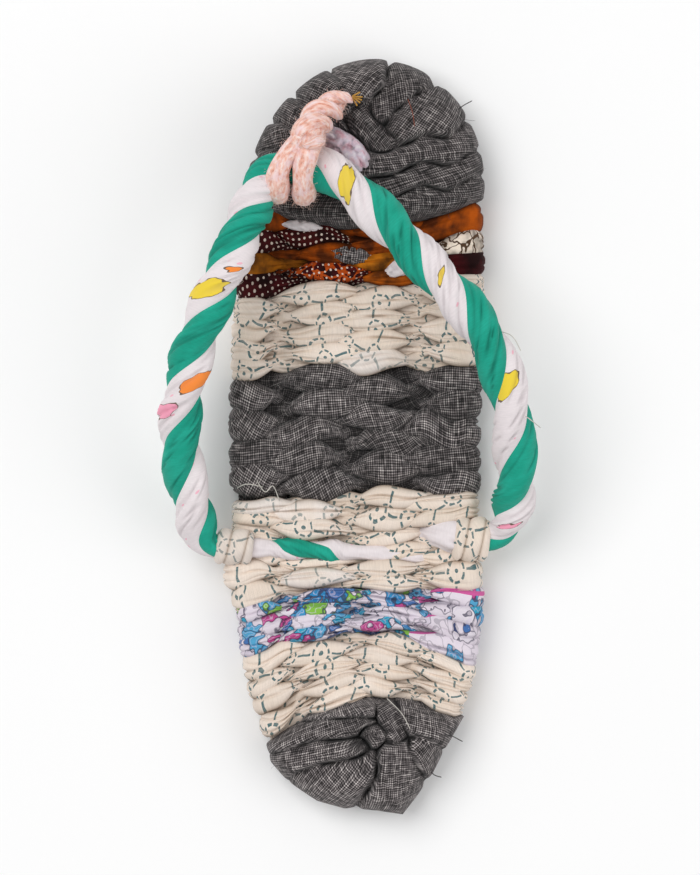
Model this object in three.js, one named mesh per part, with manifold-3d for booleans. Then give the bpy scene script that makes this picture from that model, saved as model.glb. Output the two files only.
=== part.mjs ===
// A thong sandal woven from torn cloth strips. Rows of cloth are packed over and under
// four hidden warp cords to make the sole, the toe and heel are gathered, and a twisted
// two-ply strap runs from a cloth loop at each side of the sole to a cord tie at the toe.
// Millimetres. X runs across the foot, Y from heel to toe, and Z up from the floor.
import * as THREE from "three";
import { mergeVertices } from "three/addons/utils/BufferGeometryUtils.js";
import Module from "manifold-3d";

const wasm = await Module();
wasm.setup();

// Driving dimensions
const SEAM_GAP = 0.3; // between neighbouring pieces of cloth
const SOLE_THICKNESS = 17; // to the crowns of the strips
const TOE_THICKNESS = 19.5;
const HEEL_THICKNESS = 18;
const WARP_CORDS = 4;
const STRIP_RISE = 2.6; // from a groove to the crown of a strip
const STRIP_BULGE = 1.1; // of a strip where it turns round the sole's side
const STRAP_PLY_RADIUS = 4.5;
const STRAP_PLY_OFFSET = 2.3; // of a ply's centre from the strap's centre line
const STRAP_LAY = 32.5; // length of one full turn of the twist
const STRAP_END_SHARE = 0.6; // of its full girth, where a loop grips it
const STRAP_TAPER_LENGTH = 26;
const LOOP_RADIUS = 5.9;
const LOOP_WALL = 1.5;
const LOOP_LENGTH = 12;
const LOOP_SEAT = 9.2; // height of the hollow in the weave that holds a loop
const TIE_CORD_RADIUS = 3.4;
const TIE_PLY_OFFSET = 2.2;
const TIE_LAY = 19;
const TIE_LEG_RADIUS = 3;
const TIE_LEG_FOOT = 4; // height at which the tie's leg ends inside the sole

// The sole's sides between the toe and the heel: the edge on each side at each station.
const SIDES = [
  { along: 96, left: -32.4, right: 40.6 },
  { along: 78, left: -36.9, right: 42.2 },
  { along: 55, left: -39.8, right: 43 },
  { along: 31, left: -41.7, right: 42.2 },
  { along: 0, left: -41.9, right: 40.9 },
  { along: -26, left: -41.3, right: 41 },
  { along: -36, left: -42.4, right: 41.8 },
  { along: -42.5, left: -45.2, right: 42.2 },
  { along: -50, left: -42.2, right: 42.4 },
  { along: -57, left: -40, right: 43 },
  { along: -68, left: -39.3, right: 41.4 },
  { along: -80, left: -37.4, right: 39.8 },
  { along: -92, left: -34.2, right: 36 },
  { along: -106, left: -28.2, right: 29.6 },
];

// Each seam crosses the sole from its left side through the middle to its right side.
const SEAMS = {
  toe_brown: { left: 77.9, middle: 70.1, right: 80.3 },
  brown_cream: { left: 46.8, middle: 50.7, right: 51.7 },
  cream_grey: { left: 20.6, middle: 23, right: 22.1 },
  grey_cream: { left: -22.6, middle: -18.7, right: -18.4 },
  cream_tails: { left: -27.6, middle: -32.5, right: -23.2 },
  tails_cream: { left: -43, middle: -42.2, right: -39.6 },
  cream_print: { left: -55, middle: -50, right: -51.7 },
  print_cream: { left: -75.5, middle: -64.8, right: -76 },
  cream_heel: { left: -103, middle: -86.5, right: -94 },
};

// The woven runs of the sole, with the number of rows of cloth in each.
const WEAVES = [
  { name: "weft_brown", from: "toe_brown", to: "brown_cream", rows: 6, color: 0x7a4012 },
  { name: "weft_cream_front", from: "brown_cream", to: "cream_grey", rows: 7, color: 0xd8ccb8 },
  { name: "weft_grey", from: "cream_grey", to: "grey_cream", rows: 10, color: 0x4a484a },
  { name: "weft_cream_waist", from: "grey_cream", to: "cream_tails", rows: 3, color: 0xd8ccb8 },
  { name: "strap_tails", from: "cream_tails", to: "tails_cream", rows: 2, color: 0x1fa383, seats: true },
  { name: "weft_cream_back", from: "tails_cream", to: "cream_print", rows: 3, color: 0xd8ccb8 },
  { name: "weft_print", from: "cream_print", to: "print_cream", rows: 5, color: 0x6f9cc4 },
  { name: "weft_cream_heel", from: "print_cream", to: "cream_heel", rows: 7, color: 0xd8ccb8 },
];

// The toe is a half oval that leans a little to the right.
const TOE_OVAL = { centre: 2.7, halfWidth: 39.7, reach: 47, lean: 2.4 };
const TOE_HUB = { x: 5, y: 90 };
const TOE_GATHERS = 9;
const TOE_GATHER_RISE = 2.4;
const TOE_SCALLOP = 1.2;

// The heel is folded round a small knot, and its rim has corners.
const HEEL_HUB = { x: 1.5, y: -100 };
const HEEL_RIM = [
  { x: -28.4, y: -107.5 },
  { x: -22.3, y: -114.3 },
  { x: -13, y: -120.4 },
  { x: -4, y: -123 },
  { x: 7, y: -123.6 },
  { x: 15.5, y: -125 },
  { x: 20.6, y: -118.6 },
  { x: 25.6, y: -111 },
  { x: 29.4, y: -103.5 },
];
const HEEL_GATHERS = 5;
const HEEL_GATHER_RISE = 2.2;
const HEEL_SCALLOP = 0.5;

// The strap's centre line, from inside the left loop round the toe tie to the right loop.
const STRAP_ROUTE = [
  [-36.5, -36.4, 15.4],
  [-41.5, -36.4, 15.4],
  [-46.4, -36.3, 15.5],
  [-51.2, -32.6, 17.4],
  [-54, -22, 22.5],
  [-56.6, -10, 28],
  [-57.8, 2, 33],
  [-56.6, 14, 38],
  [-53.4, 27, 42],
  [-49, 39, 44.5],
  [-43.5, 52, 45],
  [-38.5, 63, 43.5],
  [-34.2, 74, 40],
  [-30.2, 82.5, 36.6],
  [-24.5, 87.3, 34.6],
  [-17, 88.8, 34],
  [-9.5, 87, 34.3],
  [-2, 82, 36],
  [6.5, 73.8, 39],
  [15.5, 64.5, 42],
  [25, 54, 44.5],
  [34.5, 43.5, 45.3],
  [42.5, 32, 44],
  [47.8, 20, 40.5],
  [50.8, 8, 35.5],
  [52, -4, 29.5],
  [52.2, -18.5, 22],
  [49.4, -29, 17.2],
  [44.6, -32.9, 15.5],
  [40.4, -33, 15.4],
  [34.5, -33, 15.4],
];
const STRAP_START_TURN = -0.6; // radians, so that the plies lie as twisted at the toe
const STRAP_SIDES = 12;
const STRAP_STEPS = 96;

// The toe tie: two turns round the strap, and a twisted tail that lies over the toe.
const TIE_TURNS = [
  { x: -20.6, y: 88.4, z: 34.2, swing: 0.12 },
  { x: -13.6, y: 88.3, z: 34.1, swing: -0.22 },
];
const TIE_TAIL_ROUTE = [
  [-17.5, 97.5, 40.5],
  [-15.5, 101.5, 37],
  [-12, 105.5, 30.5],
  [-8, 109, 26.4],
  [-2.4, 112, 24.2],
];
const TIE_TAIL_STEPS = 14;
const TIE_SIDES = 10;
const TIE_LEG = { x: -17, y: 85.8 };

// A smooth value between the rows of a table, read by its column "along".
function between(table, column, along) {
  const clamped = THREE.MathUtils.clamp(along, table.at(-1).along, table[0].along);
  const last = table.length - 2;
  const found = table.findIndex((row, i) => i <= last && clamped >= table[i + 1].along);
  const near = table[found];
  const far = table[found + 1];
  const share = (near.along - clamped) / (near.along - far.along);
  const eased = share * share * (3 - 2 * share);
  return THREE.MathUtils.lerp(near[column], far[column], THREE.MathUtils.lerp(share, eased, 0.5));
}

// How far along the sole a seam lies, at a share of the way across from the left side.
function seamAlong(seam, across) {
  const { left, middle, right } = SEAMS[seam];
  const rest = 1 - across;
  return left * rest * (1 - 2 * across) + middle * 4 * across * rest + right * across * (2 * across - 1);
}

// A point of the sole's plan, at a share down a run of rows and a share across it.
function planPoint(from, to, down, across) {
  const along = (share) => THREE.MathUtils.lerp(seamAlong(from, share), seamAlong(to, share), down);
  const left = between(SIDES, "left", along(0));
  const right = between(SIDES, "right", along(1));
  return new THREE.Vector2(THREE.MathUtils.lerp(left, right, across), along(across));
}

// Plus one on the crown of a strip, minus one in the groove between two strips.
function weaveHeight(across, row) {
  return Math.cos(Math.PI * (WARP_CORDS * across - 0.5)) * Math.cos(Math.PI * row);
}

// A closed solid through rings of equal even count. Its ends are closed by strips between
// the points that face each other across the ring.
function loft(rings) {
  const count = rings[0].length;
  const positions = rings.flat().flatMap((point) => point.toArray());
  const index = [];
  for (let ring = 0; ring + 1 < rings.length; ring++) {
    for (let side = 0; side < count; side++) {
      const next = (side + 1) % count;
      const a = ring * count + side;
      const b = ring * count + next;
      index.push(a, a + count, b + count, a, b + count, b);
    }
  }
  const end = (rings.length - 1) * count;
  for (let side = 0; side + 1 < count / 2; side++) {
    const a = side;
    const b = side + 1;
    const c = count - 2 - side;
    const d = count - 1 - side;
    index.push(a, b, d, b, c, d);
    index.push(end + a, end + d, end + b, end + b, end + d, end + c);
  }
  return facesOf(positions, index);
}

function facesOf(positions, index) {
  const geometry = new THREE.BufferGeometry();
  geometry.setAttribute("position", new THREE.Float32BufferAttribute(positions, 3));
  geometry.setIndex(index);
  return geometry;
}

// The shares across the sole at which a section has points: the turn of each side, each
// warp cord, and half way between the cords.
const SIDE_TURN = 0.036;
const SIDE_HIGH = 0.62; // shares of the sole's height between which its side stands upright
const SIDE_LOW = 0.24;
const ACROSS = [SIDE_TURN];
for (let step = 1; step < 2 * WARP_CORDS; step++) ACROSS.push(step / (2 * WARP_CORDS));
ACROSS.push(1 - SIDE_TURN);

// One woven run of the sole: a wall with its strips raised, flat on the floor.
function wovenRun({ from, to, rows, seats }) {
  const rings = [];
  const steps = rows * 2;
  for (let step = 0; step <= steps; step++) {
    const row = step / 2;
    const down = step / steps;
    const gapShift = step === 0 ? -SEAM_GAP / 2 : step === steps ? SEAM_GAP / 2 : 0;
    const sideBulge = gapShift ? 0 : STRIP_BULGE;
    const point = (across, height, bulge = 0) => {
      const plan = planPoint(from, to, down, across);
      return new THREE.Vector3(plan.x + bulge, plan.y + gapShift, height);
    };
    const crown = (across) => {
      const rise = ((1 - weaveHeight(across, row)) / 2) ** 1.4;
      const full = SOLE_THICKNESS - STRIP_RISE * rise;
      const onTurn = across === SIDE_TURN || across === 1 - SIDE_TURN;
      const seated = seats && (across < 0.2 || across > 0.8);
      return seated ? LOOP_SEAT - (onTurn ? 1 : 0) : full - (onTurn ? STRIP_RISE : 0);
    };
    const bulge = (across) => sideBulge * Math.max(0, weaveHeight(across, row));
    const side = seats ? LOOP_SEAT : SOLE_THICKNESS;
    rings.push([
      point(0, side * SIDE_HIGH, -bulge(0.125)),
      ...ACROSS.map((across) => point(across, crown(across))),
      point(1, side * SIDE_HIGH, bulge(0.875)),
      point(1, side * SIDE_LOW, bulge(0.875)),
      ...ACROSS.toReversed().map((across) => point(across, 0)),
      point(0, side * SIDE_LOW, -bulge(0.125)),
    ]);
  }
  return loft(rings);
}

// A gathered end of the sole: folds of cloth that run from a hub out to the rim. The rim is
// a closed loop of points, and those on a seam stand upright against the next run of cloth.
function gatheredEnd({ hub, rim, thickness, rise }) {
  const rings = [
    { share: 0.36, seamShare: 0.36, height: 1, lift: 0.35 },
    { share: 0.68, seamShare: 0.7, height: 1.02, lift: 0.8 },
    { share: 0.93, seamShare: 1, height: 0.86, lift: 1 },
    { share: 1, seamShare: 1, height: SIDE_HIGH, lift: 0 },
    { share: 1, seamShare: 1, height: SIDE_LOW, lift: 0 },
    { share: 0.96, seamShare: 1, height: 0, lift: 0 },
  ];
  const positions = [hub.x, hub.y, thickness * 0.92];
  for (const ring of rings) {
    for (const point of rim) {
      const share = point.onSeam ? ring.seamShare : ring.share;
      const sloped = THREE.MathUtils.lerp(thickness, point.top, share);
      const height = point.onSeam && ring.lift > 0 ? sloped : thickness * ring.height;
      positions.push(
        THREE.MathUtils.lerp(hub.x, point.x, share),
        THREE.MathUtils.lerp(hub.y, point.y, share),
        height - (point.onSeam ? 0 : rise * ring.lift * (1 - point.fold)),
      );
    }
  }
  positions.push(hub.x, hub.y, 0);
  const count = rim.length;
  const foot = rings.length * count + 1;
  const index = [];
  for (let side = 0; side < count; side++) {
    const next = (side + 1) % count;
    index.push(0, 1 + side, 1 + next);
    for (let ring = 0; ring + 1 < rings.length; ring++) {
      const a = 1 + ring * count + side;
      const b = 1 + ring * count + next;
      index.push(a, a + count, b, b, a + count, b + count);
    }
    index.push(foot - count + side, foot, foot - count + next);
  }
  return facesOf(positions, index);
}

// Points along a seam for the rim of a gathered end, on the same shares across as the weave.
function seamRim(seam, shift) {
  const corner = (across, side) => {
    const along = seamAlong(seam, across);
    return { x: between(SIDES, side, along), y: along + shift, fold: 1, onSeam: false };
  };
  const left = corner(0, "left");
  const right = corner(1, "right");
  const inner = ACROSS.map((across) => ({
    x: THREE.MathUtils.lerp(left.x, right.x, across),
    y: seamAlong(seam, across) + shift,
    fold: 1,
    onSeam: true,
    top: SOLE_THICKNESS - STRIP_RISE * (Math.abs(across - 0.5) < 0.45 ? 0.5 : 1.5),
  }));
  return [left, ...inner, right];
}

// The toe's rim runs anticlockwise: right along the seam, then round the oval to the left.
function toeEnd() {
  const seam = seamRim("toe_brown", SEAM_GAP / 2);
  const { centre, halfWidth, reach, lean } = TOE_OVAL;
  const stepsPerGather = 4;
  const steps = TOE_GATHERS * stepsPerGather;
  const oval = [];
  const start = seam.at(-1);
  const end = seam[0];
  for (let step = 1; step < steps; step++) {
    const angle = (Math.PI * step) / steps;
    const fold = Math.abs(Math.sin((Math.PI * step) / stepsPerGather)) ** 0.8;
    const out = TOE_SCALLOP * (fold - 0.7);
    const foot = THREE.MathUtils.lerp(start.y, end.y, step / steps);
    oval.push({
      x: centre + lean * Math.sin(angle) + (halfWidth + out) * Math.cos(angle),
      y: foot + (reach + out) * Math.sin(angle) - (foot - SEAMS.toe_brown.left) * Math.sin(angle),
      fold,
      onSeam: false,
    });
  }
  return gatheredEnd({
    hub: TOE_HUB,
    rim: [...seam, ...oval],
    thickness: TOE_THICKNESS,
    rise: TOE_GATHER_RISE,
  });
}

// The heel's rim runs anticlockwise too: left along the seam, then round the corners.
function heelEnd() {
  const seam = seamRim("cream_heel", -SEAM_GAP / 2).toReversed();
  const corners = new THREE.CatmullRomCurve3(
    [seam.at(-1), ...HEEL_RIM, seam[0]].map(({ x, y }) => new THREE.Vector3(x, y, 0)),
    false,
    "centripetal",
  );
  const stepsPerGather = 5;
  const steps = HEEL_GATHERS * stepsPerGather;
  const turn = [];
  for (let step = 1; step < steps; step++) {
    const fold = Math.abs(Math.sin((Math.PI * step) / stepsPerGather)) ** 0.6;
    const point = corners.getPointAt(step / steps);
    const outward = new THREE.Vector2(point.x - HEEL_HUB.x, point.y - HEEL_HUB.y).normalize();
    const out = HEEL_SCALLOP * (fold - 1);
    turn.push({ x: point.x + outward.x * out, y: point.y + outward.y * out, fold, onSeam: false });
  }
  return gatheredEnd({
    hub: HEEL_HUB,
    rim: [...seam, ...turn],
    thickness: HEEL_THICKNESS,
    rise: HEEL_GATHER_RISE,
  });
}

// A two-ply twisted rope along a route. Its section is two round plies side by side, and
// girth gives the share of full size at each distance along it.
function twistedRope({ route, plyRadius, plyOffset, lay, startTurn, sides, steps, girth }) {
  const curve = new THREE.CatmullRomCurve3(route.map((p) => new THREE.Vector3(...p)), false, "centripetal");
  const length = curve.getLength();
  const { normals, binormals } = curve.computeFrenetFrames(steps);
  const rings = [];
  for (let step = 0; step <= steps; step++) {
    const centre = curve.getPointAt(step / steps);
    const travelled = (length * step) / steps;
    const twist = startTurn + (2 * Math.PI * travelled) / lay;
    const ring = [];
    for (let side = 0; side < sides; side++) {
      const angle = (2 * Math.PI * side) / sides;
      const reach =
        plyOffset * Math.abs(Math.cos(angle)) + Math.sqrt(plyRadius ** 2 - (plyOffset * Math.sin(angle)) ** 2);
      const size = reach * girth(travelled, length);
      ring.push(
        centre
          .clone()
          .addScaledVector(normals[step], size * Math.cos(angle + twist))
          .addScaledVector(binormals[step], size * Math.sin(angle + twist)),
      );
    }
    rings.push(ring.toReversed());
  }
  return loft(rings);
}

function strap() {
  const girth = (travelled, length) => {
    const fromEnd = Math.min(travelled, length - travelled);
    const grown = THREE.MathUtils.smoothstep(fromEnd, LOOP_LENGTH * 0.8, STRAP_TAPER_LENGTH);
    return THREE.MathUtils.lerp(STRAP_END_SHARE, 1, grown);
  };
  return twistedRope({
    route: STRAP_ROUTE,
    plyRadius: STRAP_PLY_RADIUS,
    plyOffset: STRAP_PLY_OFFSET,
    lay: STRAP_LAY,
    startTurn: STRAP_START_TURN,
    sides: STRAP_SIDES,
    steps: STRAP_STEPS,
    girth,
  });
}

// A cloth loop: a short barrel wrapped round the strap's end, along X.
function sideLoop() {
  const half = LOOP_LENGTH / 2;
  const inner = LOOP_RADIUS - LOOP_WALL;
  const profile = [
    new THREE.Vector2(inner, half - 0.6),
    new THREE.Vector2(inner, -half + 0.6),
    new THREE.Vector2(inner + LOOP_WALL / 2, -half),
    new THREE.Vector2(LOOP_RADIUS, -half * 0.6),
    new THREE.Vector2(LOOP_RADIUS, half * 0.6),
    new THREE.Vector2(inner + LOOP_WALL / 2, half),
    new THREE.Vector2(inner, half - 0.6),
  ];
  const loopSides = 16;
  return new THREE.LatheGeometry(profile, loopSides).rotateZ(Math.PI / 2);
}

// A closed geometry as a solid that can be joined and cut.
function solidOf(geometry) {
  const bare = geometry.clone();
  bare.deleteAttribute("normal");
  bare.deleteAttribute("uv");
  const merged = mergeVertices(bare, 1e-4);
  return new wasm.Manifold(
    new wasm.Mesh({
      numProp: 3,
      vertProperties: new Float32Array(merged.attributes.position.array),
      triVerts: new Uint32Array(merged.index.array),
    }),
  );
}

function geometryOf(solid) {
  const { vertProperties, triVerts } = solid.getMesh();
  return facesOf(Array.from(vertProperties), Array.from(triVerts));
}

// An upright round pin between two heights.
function uprightPin({ x, y }, radius, low, high) {
  const pinSides = 12;
  return new THREE.CylinderGeometry(radius, radius, high - low, pinSides)
    .rotateX(Math.PI / 2)
    .translate(x, y, (low + high) / 2);
}

// The toe tie: turns round the strap, a leg down into the sole, and a twisted tail.
function toeTie() {
  const turnRadius = STRAP_PLY_RADIUS + STRAP_PLY_OFFSET + SEAM_GAP + TIE_CORD_RADIUS;
  const turns = TIE_TURNS.map(({ x, y, z, swing }) =>
    new THREE.TorusGeometry(turnRadius, TIE_CORD_RADIUS, 8, 18)
      .rotateY(Math.PI / 2)
      .rotateZ(swing)
      .translate(x, y, z),
  );
  const legTop = TIE_TURNS[0].z - turnRadius;
  const tail = twistedRope({
    route: TIE_TAIL_ROUTE,
    plyRadius: TIE_CORD_RADIUS * 0.9,
    plyOffset: TIE_PLY_OFFSET * 0.8,
    lay: TIE_LAY,
    startTurn: 0,
    sides: TIE_SIDES,
    steps: TIE_TAIL_STEPS,
    girth: () => 1,
  });
  return geometryOf(
    [...turns, uprightPin(TIE_LEG, TIE_LEG_RADIUS, TIE_LEG_FOOT, legTop), tail]
      .map(solidOf)
      .reduce((joined, solid) => joined.add(solid)),
  );
}

// The toe, with the hole that the tie's leg goes down.
function piercedToe() {
  const hole = uprightPin(TIE_LEG, TIE_LEG_RADIUS + SEAM_GAP, TIE_LEG_FOOT - SEAM_GAP, 2 * TOE_THICKNESS);
  return geometryOf(solidOf(toeEnd()).subtract(solidOf(hole)));
}

const sandal = new THREE.Group();

function addPiece(name, geometry, color, roughness) {
  const material = new THREE.MeshStandardMaterial({ color, roughness, metalness: 0 });
  const mesh = new THREE.Mesh(geometry, material);
  mesh.name = name;
  sandal.add(mesh);
  return mesh;
}

addPiece("toe_grey", piercedToe(), 0x4a484a, 0.95);
for (const weave of WEAVES) addPiece(weave.name, wovenRun(weave), weave.color, 0.92);
addPiece("heel_grey", heelEnd(), 0x4a484a, 0.95);
addPiece("strap", strap(), 0x1fa383, 0.85);
const loopHeight = LOOP_SEAT + SEAM_GAP + LOOP_RADIUS;
addPiece("side_loop_left", sideLoop(), 0xd8ccb8, 0.92).position.set(-40.3, -36.4, loopHeight);
addPiece("side_loop_right", sideLoop(), 0xd8ccb8, 0.92).position.set(38.4, -33, loopHeight);
addPiece("toe_tie", toeTie(), 0xe8bfae, 0.97);

export default sandal;
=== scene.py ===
# A thong sandal woven from torn cloth strips, dressed over its solids. The rows of the sole
# are strips that pass over and under hidden warp cords, the toe and heel are gathered cloth,
# and the strap is a rope of two cloth plies. Tables are in millimetres and pieces in metres.
import math
from collections import namedtuple

import bpy
import numpy as np
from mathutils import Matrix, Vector


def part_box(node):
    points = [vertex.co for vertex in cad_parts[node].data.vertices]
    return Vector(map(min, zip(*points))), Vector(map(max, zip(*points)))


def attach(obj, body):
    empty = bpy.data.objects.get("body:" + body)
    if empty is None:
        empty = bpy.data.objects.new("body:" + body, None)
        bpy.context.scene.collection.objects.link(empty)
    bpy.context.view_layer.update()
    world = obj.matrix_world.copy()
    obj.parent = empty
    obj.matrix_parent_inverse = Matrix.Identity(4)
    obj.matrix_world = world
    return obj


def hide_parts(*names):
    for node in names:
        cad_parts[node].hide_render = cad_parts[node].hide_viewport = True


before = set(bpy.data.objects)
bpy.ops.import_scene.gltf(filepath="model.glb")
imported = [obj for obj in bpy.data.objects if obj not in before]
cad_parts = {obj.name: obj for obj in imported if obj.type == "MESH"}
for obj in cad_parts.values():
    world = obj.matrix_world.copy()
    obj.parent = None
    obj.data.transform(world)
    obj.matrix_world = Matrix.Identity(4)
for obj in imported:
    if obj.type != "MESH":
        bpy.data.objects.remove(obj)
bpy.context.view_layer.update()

MM = 0.001
SEED = 7
FLAT = "flat_cloth"  # UV map: each corner's place on the cloth laid flat, in millimetres
MARK = "cloth_mark"  # colour attribute: tone, share of print shown, dye shade, and painted shade in creases
FOLD = "ply_fold"  # attribute of a rope's ply: depth in a fold, which sets its painted fold shade
rng = np.random.default_rng(SEED)

# The sole, as in the solids
SOLE_THICKNESS = (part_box("weft_grey")[1].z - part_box("weft_grey")[0].z) / MM
TOE_THICKNESS = 20
HEEL_THICKNESS = 18.5
WARP_CORDS = 4

SIDES = [
    # along, left edge, right edge
    (96, -32.4, 40.6),
    (78, -36.9, 42.2),
    (55, -39.8, 43),
    (31, -41.7, 42.2),
    (0, -41.9, 40.9),
    (-26, -41.3, 41),
    (-36, -42.4, 41.8),
    (-42.5, -45.2, 42.2),
    (-50, -42.2, 42.4),
    (-57, -40, 43),
    (-68, -39.3, 41.4),
    (-80, -37.4, 39.8),
    (-92, -34.2, 36),
    (-106, -28.2, 29.6),
]
SEAMS = {
    # left side, middle, right side
    "toe_brown": (77.9, 70.1, 80.3),
    "brown_cream": (46.8, 50.7, 51.7),
    "cream_grey": (20.6, 23, 22.1),
    "grey_cream": (-22.6, -18.7, -18.4),
    "cream_tails": (-27.6, -32.5, -23.2),
    "tails_cream": (-43, -42.2, -39.6),
    "cream_print": (-55, -50, -51.7),
    "print_cream": (-75.5, -64.8, -76),
    "cream_heel": (-103, -86.5, -94),
}
COLUMN_EDGES = (0, 0.2, 0.485, 0.75, 1)  # where the strips cross, as shares of the width
# Runs of strips: crown height, flatness of the crowns (two is round), depth of the creases as a share of
# the height, and how dark the painted shade is where the strips dip under
Run = namedtuple("Run", "node seam_from seam_to rows height flatness crease_depth dip_tone cloth")
RUNS = [
    Run("weft_brown", "toe_brown", "brown_cream", 7, 3.2, 2.4, 0.3, 0.5, "brown_batik"),
    Run("weft_cream_front", "brown_cream", "cream_grey", 8, 2.4, 2.6, 0.42, 0.14, "cream_print"),
    Run("weft_grey", "cream_grey", "grey_cream", 9, 4.6, 1.9, 0.22, 0.8, "grey_cloth"),
    Run("weft_cream_waist", "grey_cream", "cream_tails", 4, 2.4, 2.6, 0.42, 0.14, "cream_print"),
    Run("strap_tails", "cream_tails", "tails_cream", 4, 2.2, 2.6, 0.4, 0.14, "cream_print"),
    Run("weft_cream_back", "tails_cream", "cream_print", 3, 2.4, 2.6, 0.42, 0.14, "cream_print"),
    Run("weft_print", "cream_print", "print_cream", 7, 2.3, 2.6, 0.4, 0.3, "bright_print"),
    Run("weft_cream_heel", "print_cream", "cream_heel", 8, 2.4, 2.6, 0.42, 0.14, "cream_print"),
]
# What shows on the two crowns of each row of the brown run
BROWN_CROWNS = [
    # left half, right half
    ("rust", "rust"),
    ("leaf", "rust"),
    ("dots", "rust"),
    ("rust", "crackle"),
    ("ochre", "ochre"),
    ("scroll", "maroon"),
    ("dots", "orange"),
]
# Crowns of cream cotton that show the paler back of the cloth
BACK_CROWNS = [
    # node, row, column
    ("weft_cream_front", 7, 2),
    ("weft_cream_waist", 0, 0),
    ("weft_cream_waist", 1, 1),
    ("weft_cream_back", 1, 1),
]
BACK_PRINT = 0.4  # how much of the print shows there
PRINT_SHARES = np.array([0.5, 0.72, 0.62, 0.27])  # inked share of the bright print in each column
PRINT_SPREAD = 0.12  # how far a crown may differ from its column
CROWN_TONES = (0.2, 1)  # darkest and lightest
BROWN_SHADES = {
    # what shows, and the colour of its ground
    "rust": "#A64A00",
    "ochre": "#BA6C0C",
    "orange": "#CC6608",
    "maroon": "#3E0208",
    "dots": "#44060C",
    "leaf": "#4A0A0A",
    "crackle": "#F4E4D4",
    "scroll": "#440608",
}
SHADE_PLACES = {shade: (i + 0.5) / len(BROWN_SHADES) for i, shade in enumerate(BROWN_SHADES)}

# The strips of the weave
ROW_STATIONS = 76  # along the part of a strip that lies across the sole
TURN_STATIONS = 12  # along the part that turns down round the side
CROWN_POINTS = 33  # across a strip's upper face
UNDER_POINTS = 9  # across its lower face
SIDE_TURN = 0.055  # share of the width where a strip starts to turn down
SIDE_TUCK = 0.03  # share of the width where its other end is tucked in
SIDE_REACH = 22.4  # the length of strip at its turned end that is fuller, with shallow creases in painted shade
SIDE_FADE = 16  # how much of that length fades into the rest
SIDE_SWELL = 0.06  # how much wider the strip is there, as a share
DIP_WIDTH = 0.46  # half the width of a strip where it passes under, in row pitches
CROWN_WIDTH = 0.86  # how much is added at the middle of a crown
CROWN_SIZES = (0.85, 1.15)  # least and most, as shares of that
CROWN_RISES = (-0.8, 0.35)  # how far a crown may lie below or above the rest
CROWN_SLANT = 0.17  # how far crowns usually lean, in row pitches
COLUMN_SLIP = 0.22  # how far a strip, or one of its crowns, may lie out of line
CREASES = 4  # on each strip
UNDER_DROP = 5.4  # from a strip's crown down to where it passes under
UNDER_HEIGHT = 0.55  # share of a crown's own height that is left there
UNDER_SHADE_START = 0.6  # where the dips' painted shade starts, from one at a crown to minus one below
CROWN_BLUNTNESS = 0.65  # less than one makes a strip rise and dip more steeply
BELLY_FLATNESS = 2.4  # of a strip's lower face: two is round, more is flatter
BELLY_GAP = 0.2  # from a strip's belly to the floor, where it passes under
BELLY_LIFT = 3.2  # how much higher the belly is below a crown
SIDE_BELLY = 4  # the most that a strip bulges inwards at its ends
TURN_SHARES = (0.06, 0.92)  # of a half turn, from the crown round to the underside
TURN_LEAST = 0.6  # the least that a turned end stands out
TURN_GAP = 0.3  # from a turned end to the floor
WOBBLE = 0.06  # in a strip's width, as a share
WOBBLE_LENGTH = 4.3  # of strip for each radian of the wobble
CLOTH_TURN = 0.3  # how far the print is usually turned from crown to crown, in radians
CLOTH_SHIFT = 90  # how far it may be shifted
FLOOR_GAP = 0.05  # the lowest that a strip comes
CREASE_SHADE = 0.85  # how far the deepest creases are darkened to their painted shade colour
RUN_SQUEEZE = 0.94  # the rows of a run are packed a little together, so that it keeps inside its seams
CROWN_REACH = 0.28  # how much longer a strip's crowns are than the dips where it passes under
TAIL_BED = 2.4  # how much lower the rows lie that carry the strap's ends
NARROWEST_PITCH = 2.2  # where a run narrows to a side, its strips still keep the width of this row pitch

# Gathered ends: each fold has a ridge from one point to another, a half width and a lift
SEAM_LAP = 1.4  # how far the gathered ends lap over the rows beside them
TOE_TONE = 0
HEEL_TONE = 0.62
TOE_HUB = (5, 90)
TOE_FOLDS = [
    # from x, from y, to x, to y, half width, lift, turn of the cloth in degrees
    (-20, 90, -37, 89, 4.2, 0, 8),
    (-16, 97.5, -33, 99, 4.6, 0.4, 12),
    (-13, 103, -27, 108.5, 4.6, 0.2, -10),
    (-8, 108, -16, 117, 4.6, 0.1, 14),
    (-1, 111.5, 5, 124, 5, 0.9, -14),
    (11, 108.5, 18, 120.5, 6.4, 0, 34),
    (16, 103.5, 33, 110.5, 7.4, 0.5, 30),
    (4, 107, 7, 99, 4.6, -1.9, 30),
    (3, 88.5, 40, 99, 5.2, 0.5, -10),
    (6, 82.6, 42, 89, 4.6, 0.1, 6),
    (8, 76, 42, 81.5, 4.2, -0.2, -6),
    (-25, 78, 6, 73.6, 4, -0.4, 4),
    (-32, 84, -10, 84, 3.4, -1, 0),
    (-10, 97, -3, 92, 4, -1.4, 10),
]
HEEL_HUB = (1.5, -100)
HEEL_RIM = [
    (-28.4, -107.5),
    (-22.3, -114.3),
    (-13, -120.4),
    (-4, -123),
    (7, -123.6),
    (15.5, -125),
    (20.6, -118.6),
    (25.6, -111),
    (29.4, -103.5),
]
HEEL_FOLDS = [
    # from x, from y, to x, to y, half width, lift, turn of the cloth in degrees
    (-17.5, -92, 1.3, -88, 3.4, 0.7, 14),
    (-26, -101, -2, -94.5, 4.4, 0.2, 10),
    (-24, -108, -0.5, -101.6, 4.8, 0.5, -4),
    (-14, -116, 2, -108, 6, 0.6, 24),
    (1.3, -96.7, 6, -100, 2.6, 0.9, 45),
    (13, -106.5, 14.5, -123, 6.6, 0.3, 80),
    (16, -95, 31, -97.5, 5, 0.2, 84),
    (21, -103, 29, -108, 5, 0, 70),
    (10.4, -92, 12.4, -100, 3.4, -0.4, 20),
]

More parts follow.
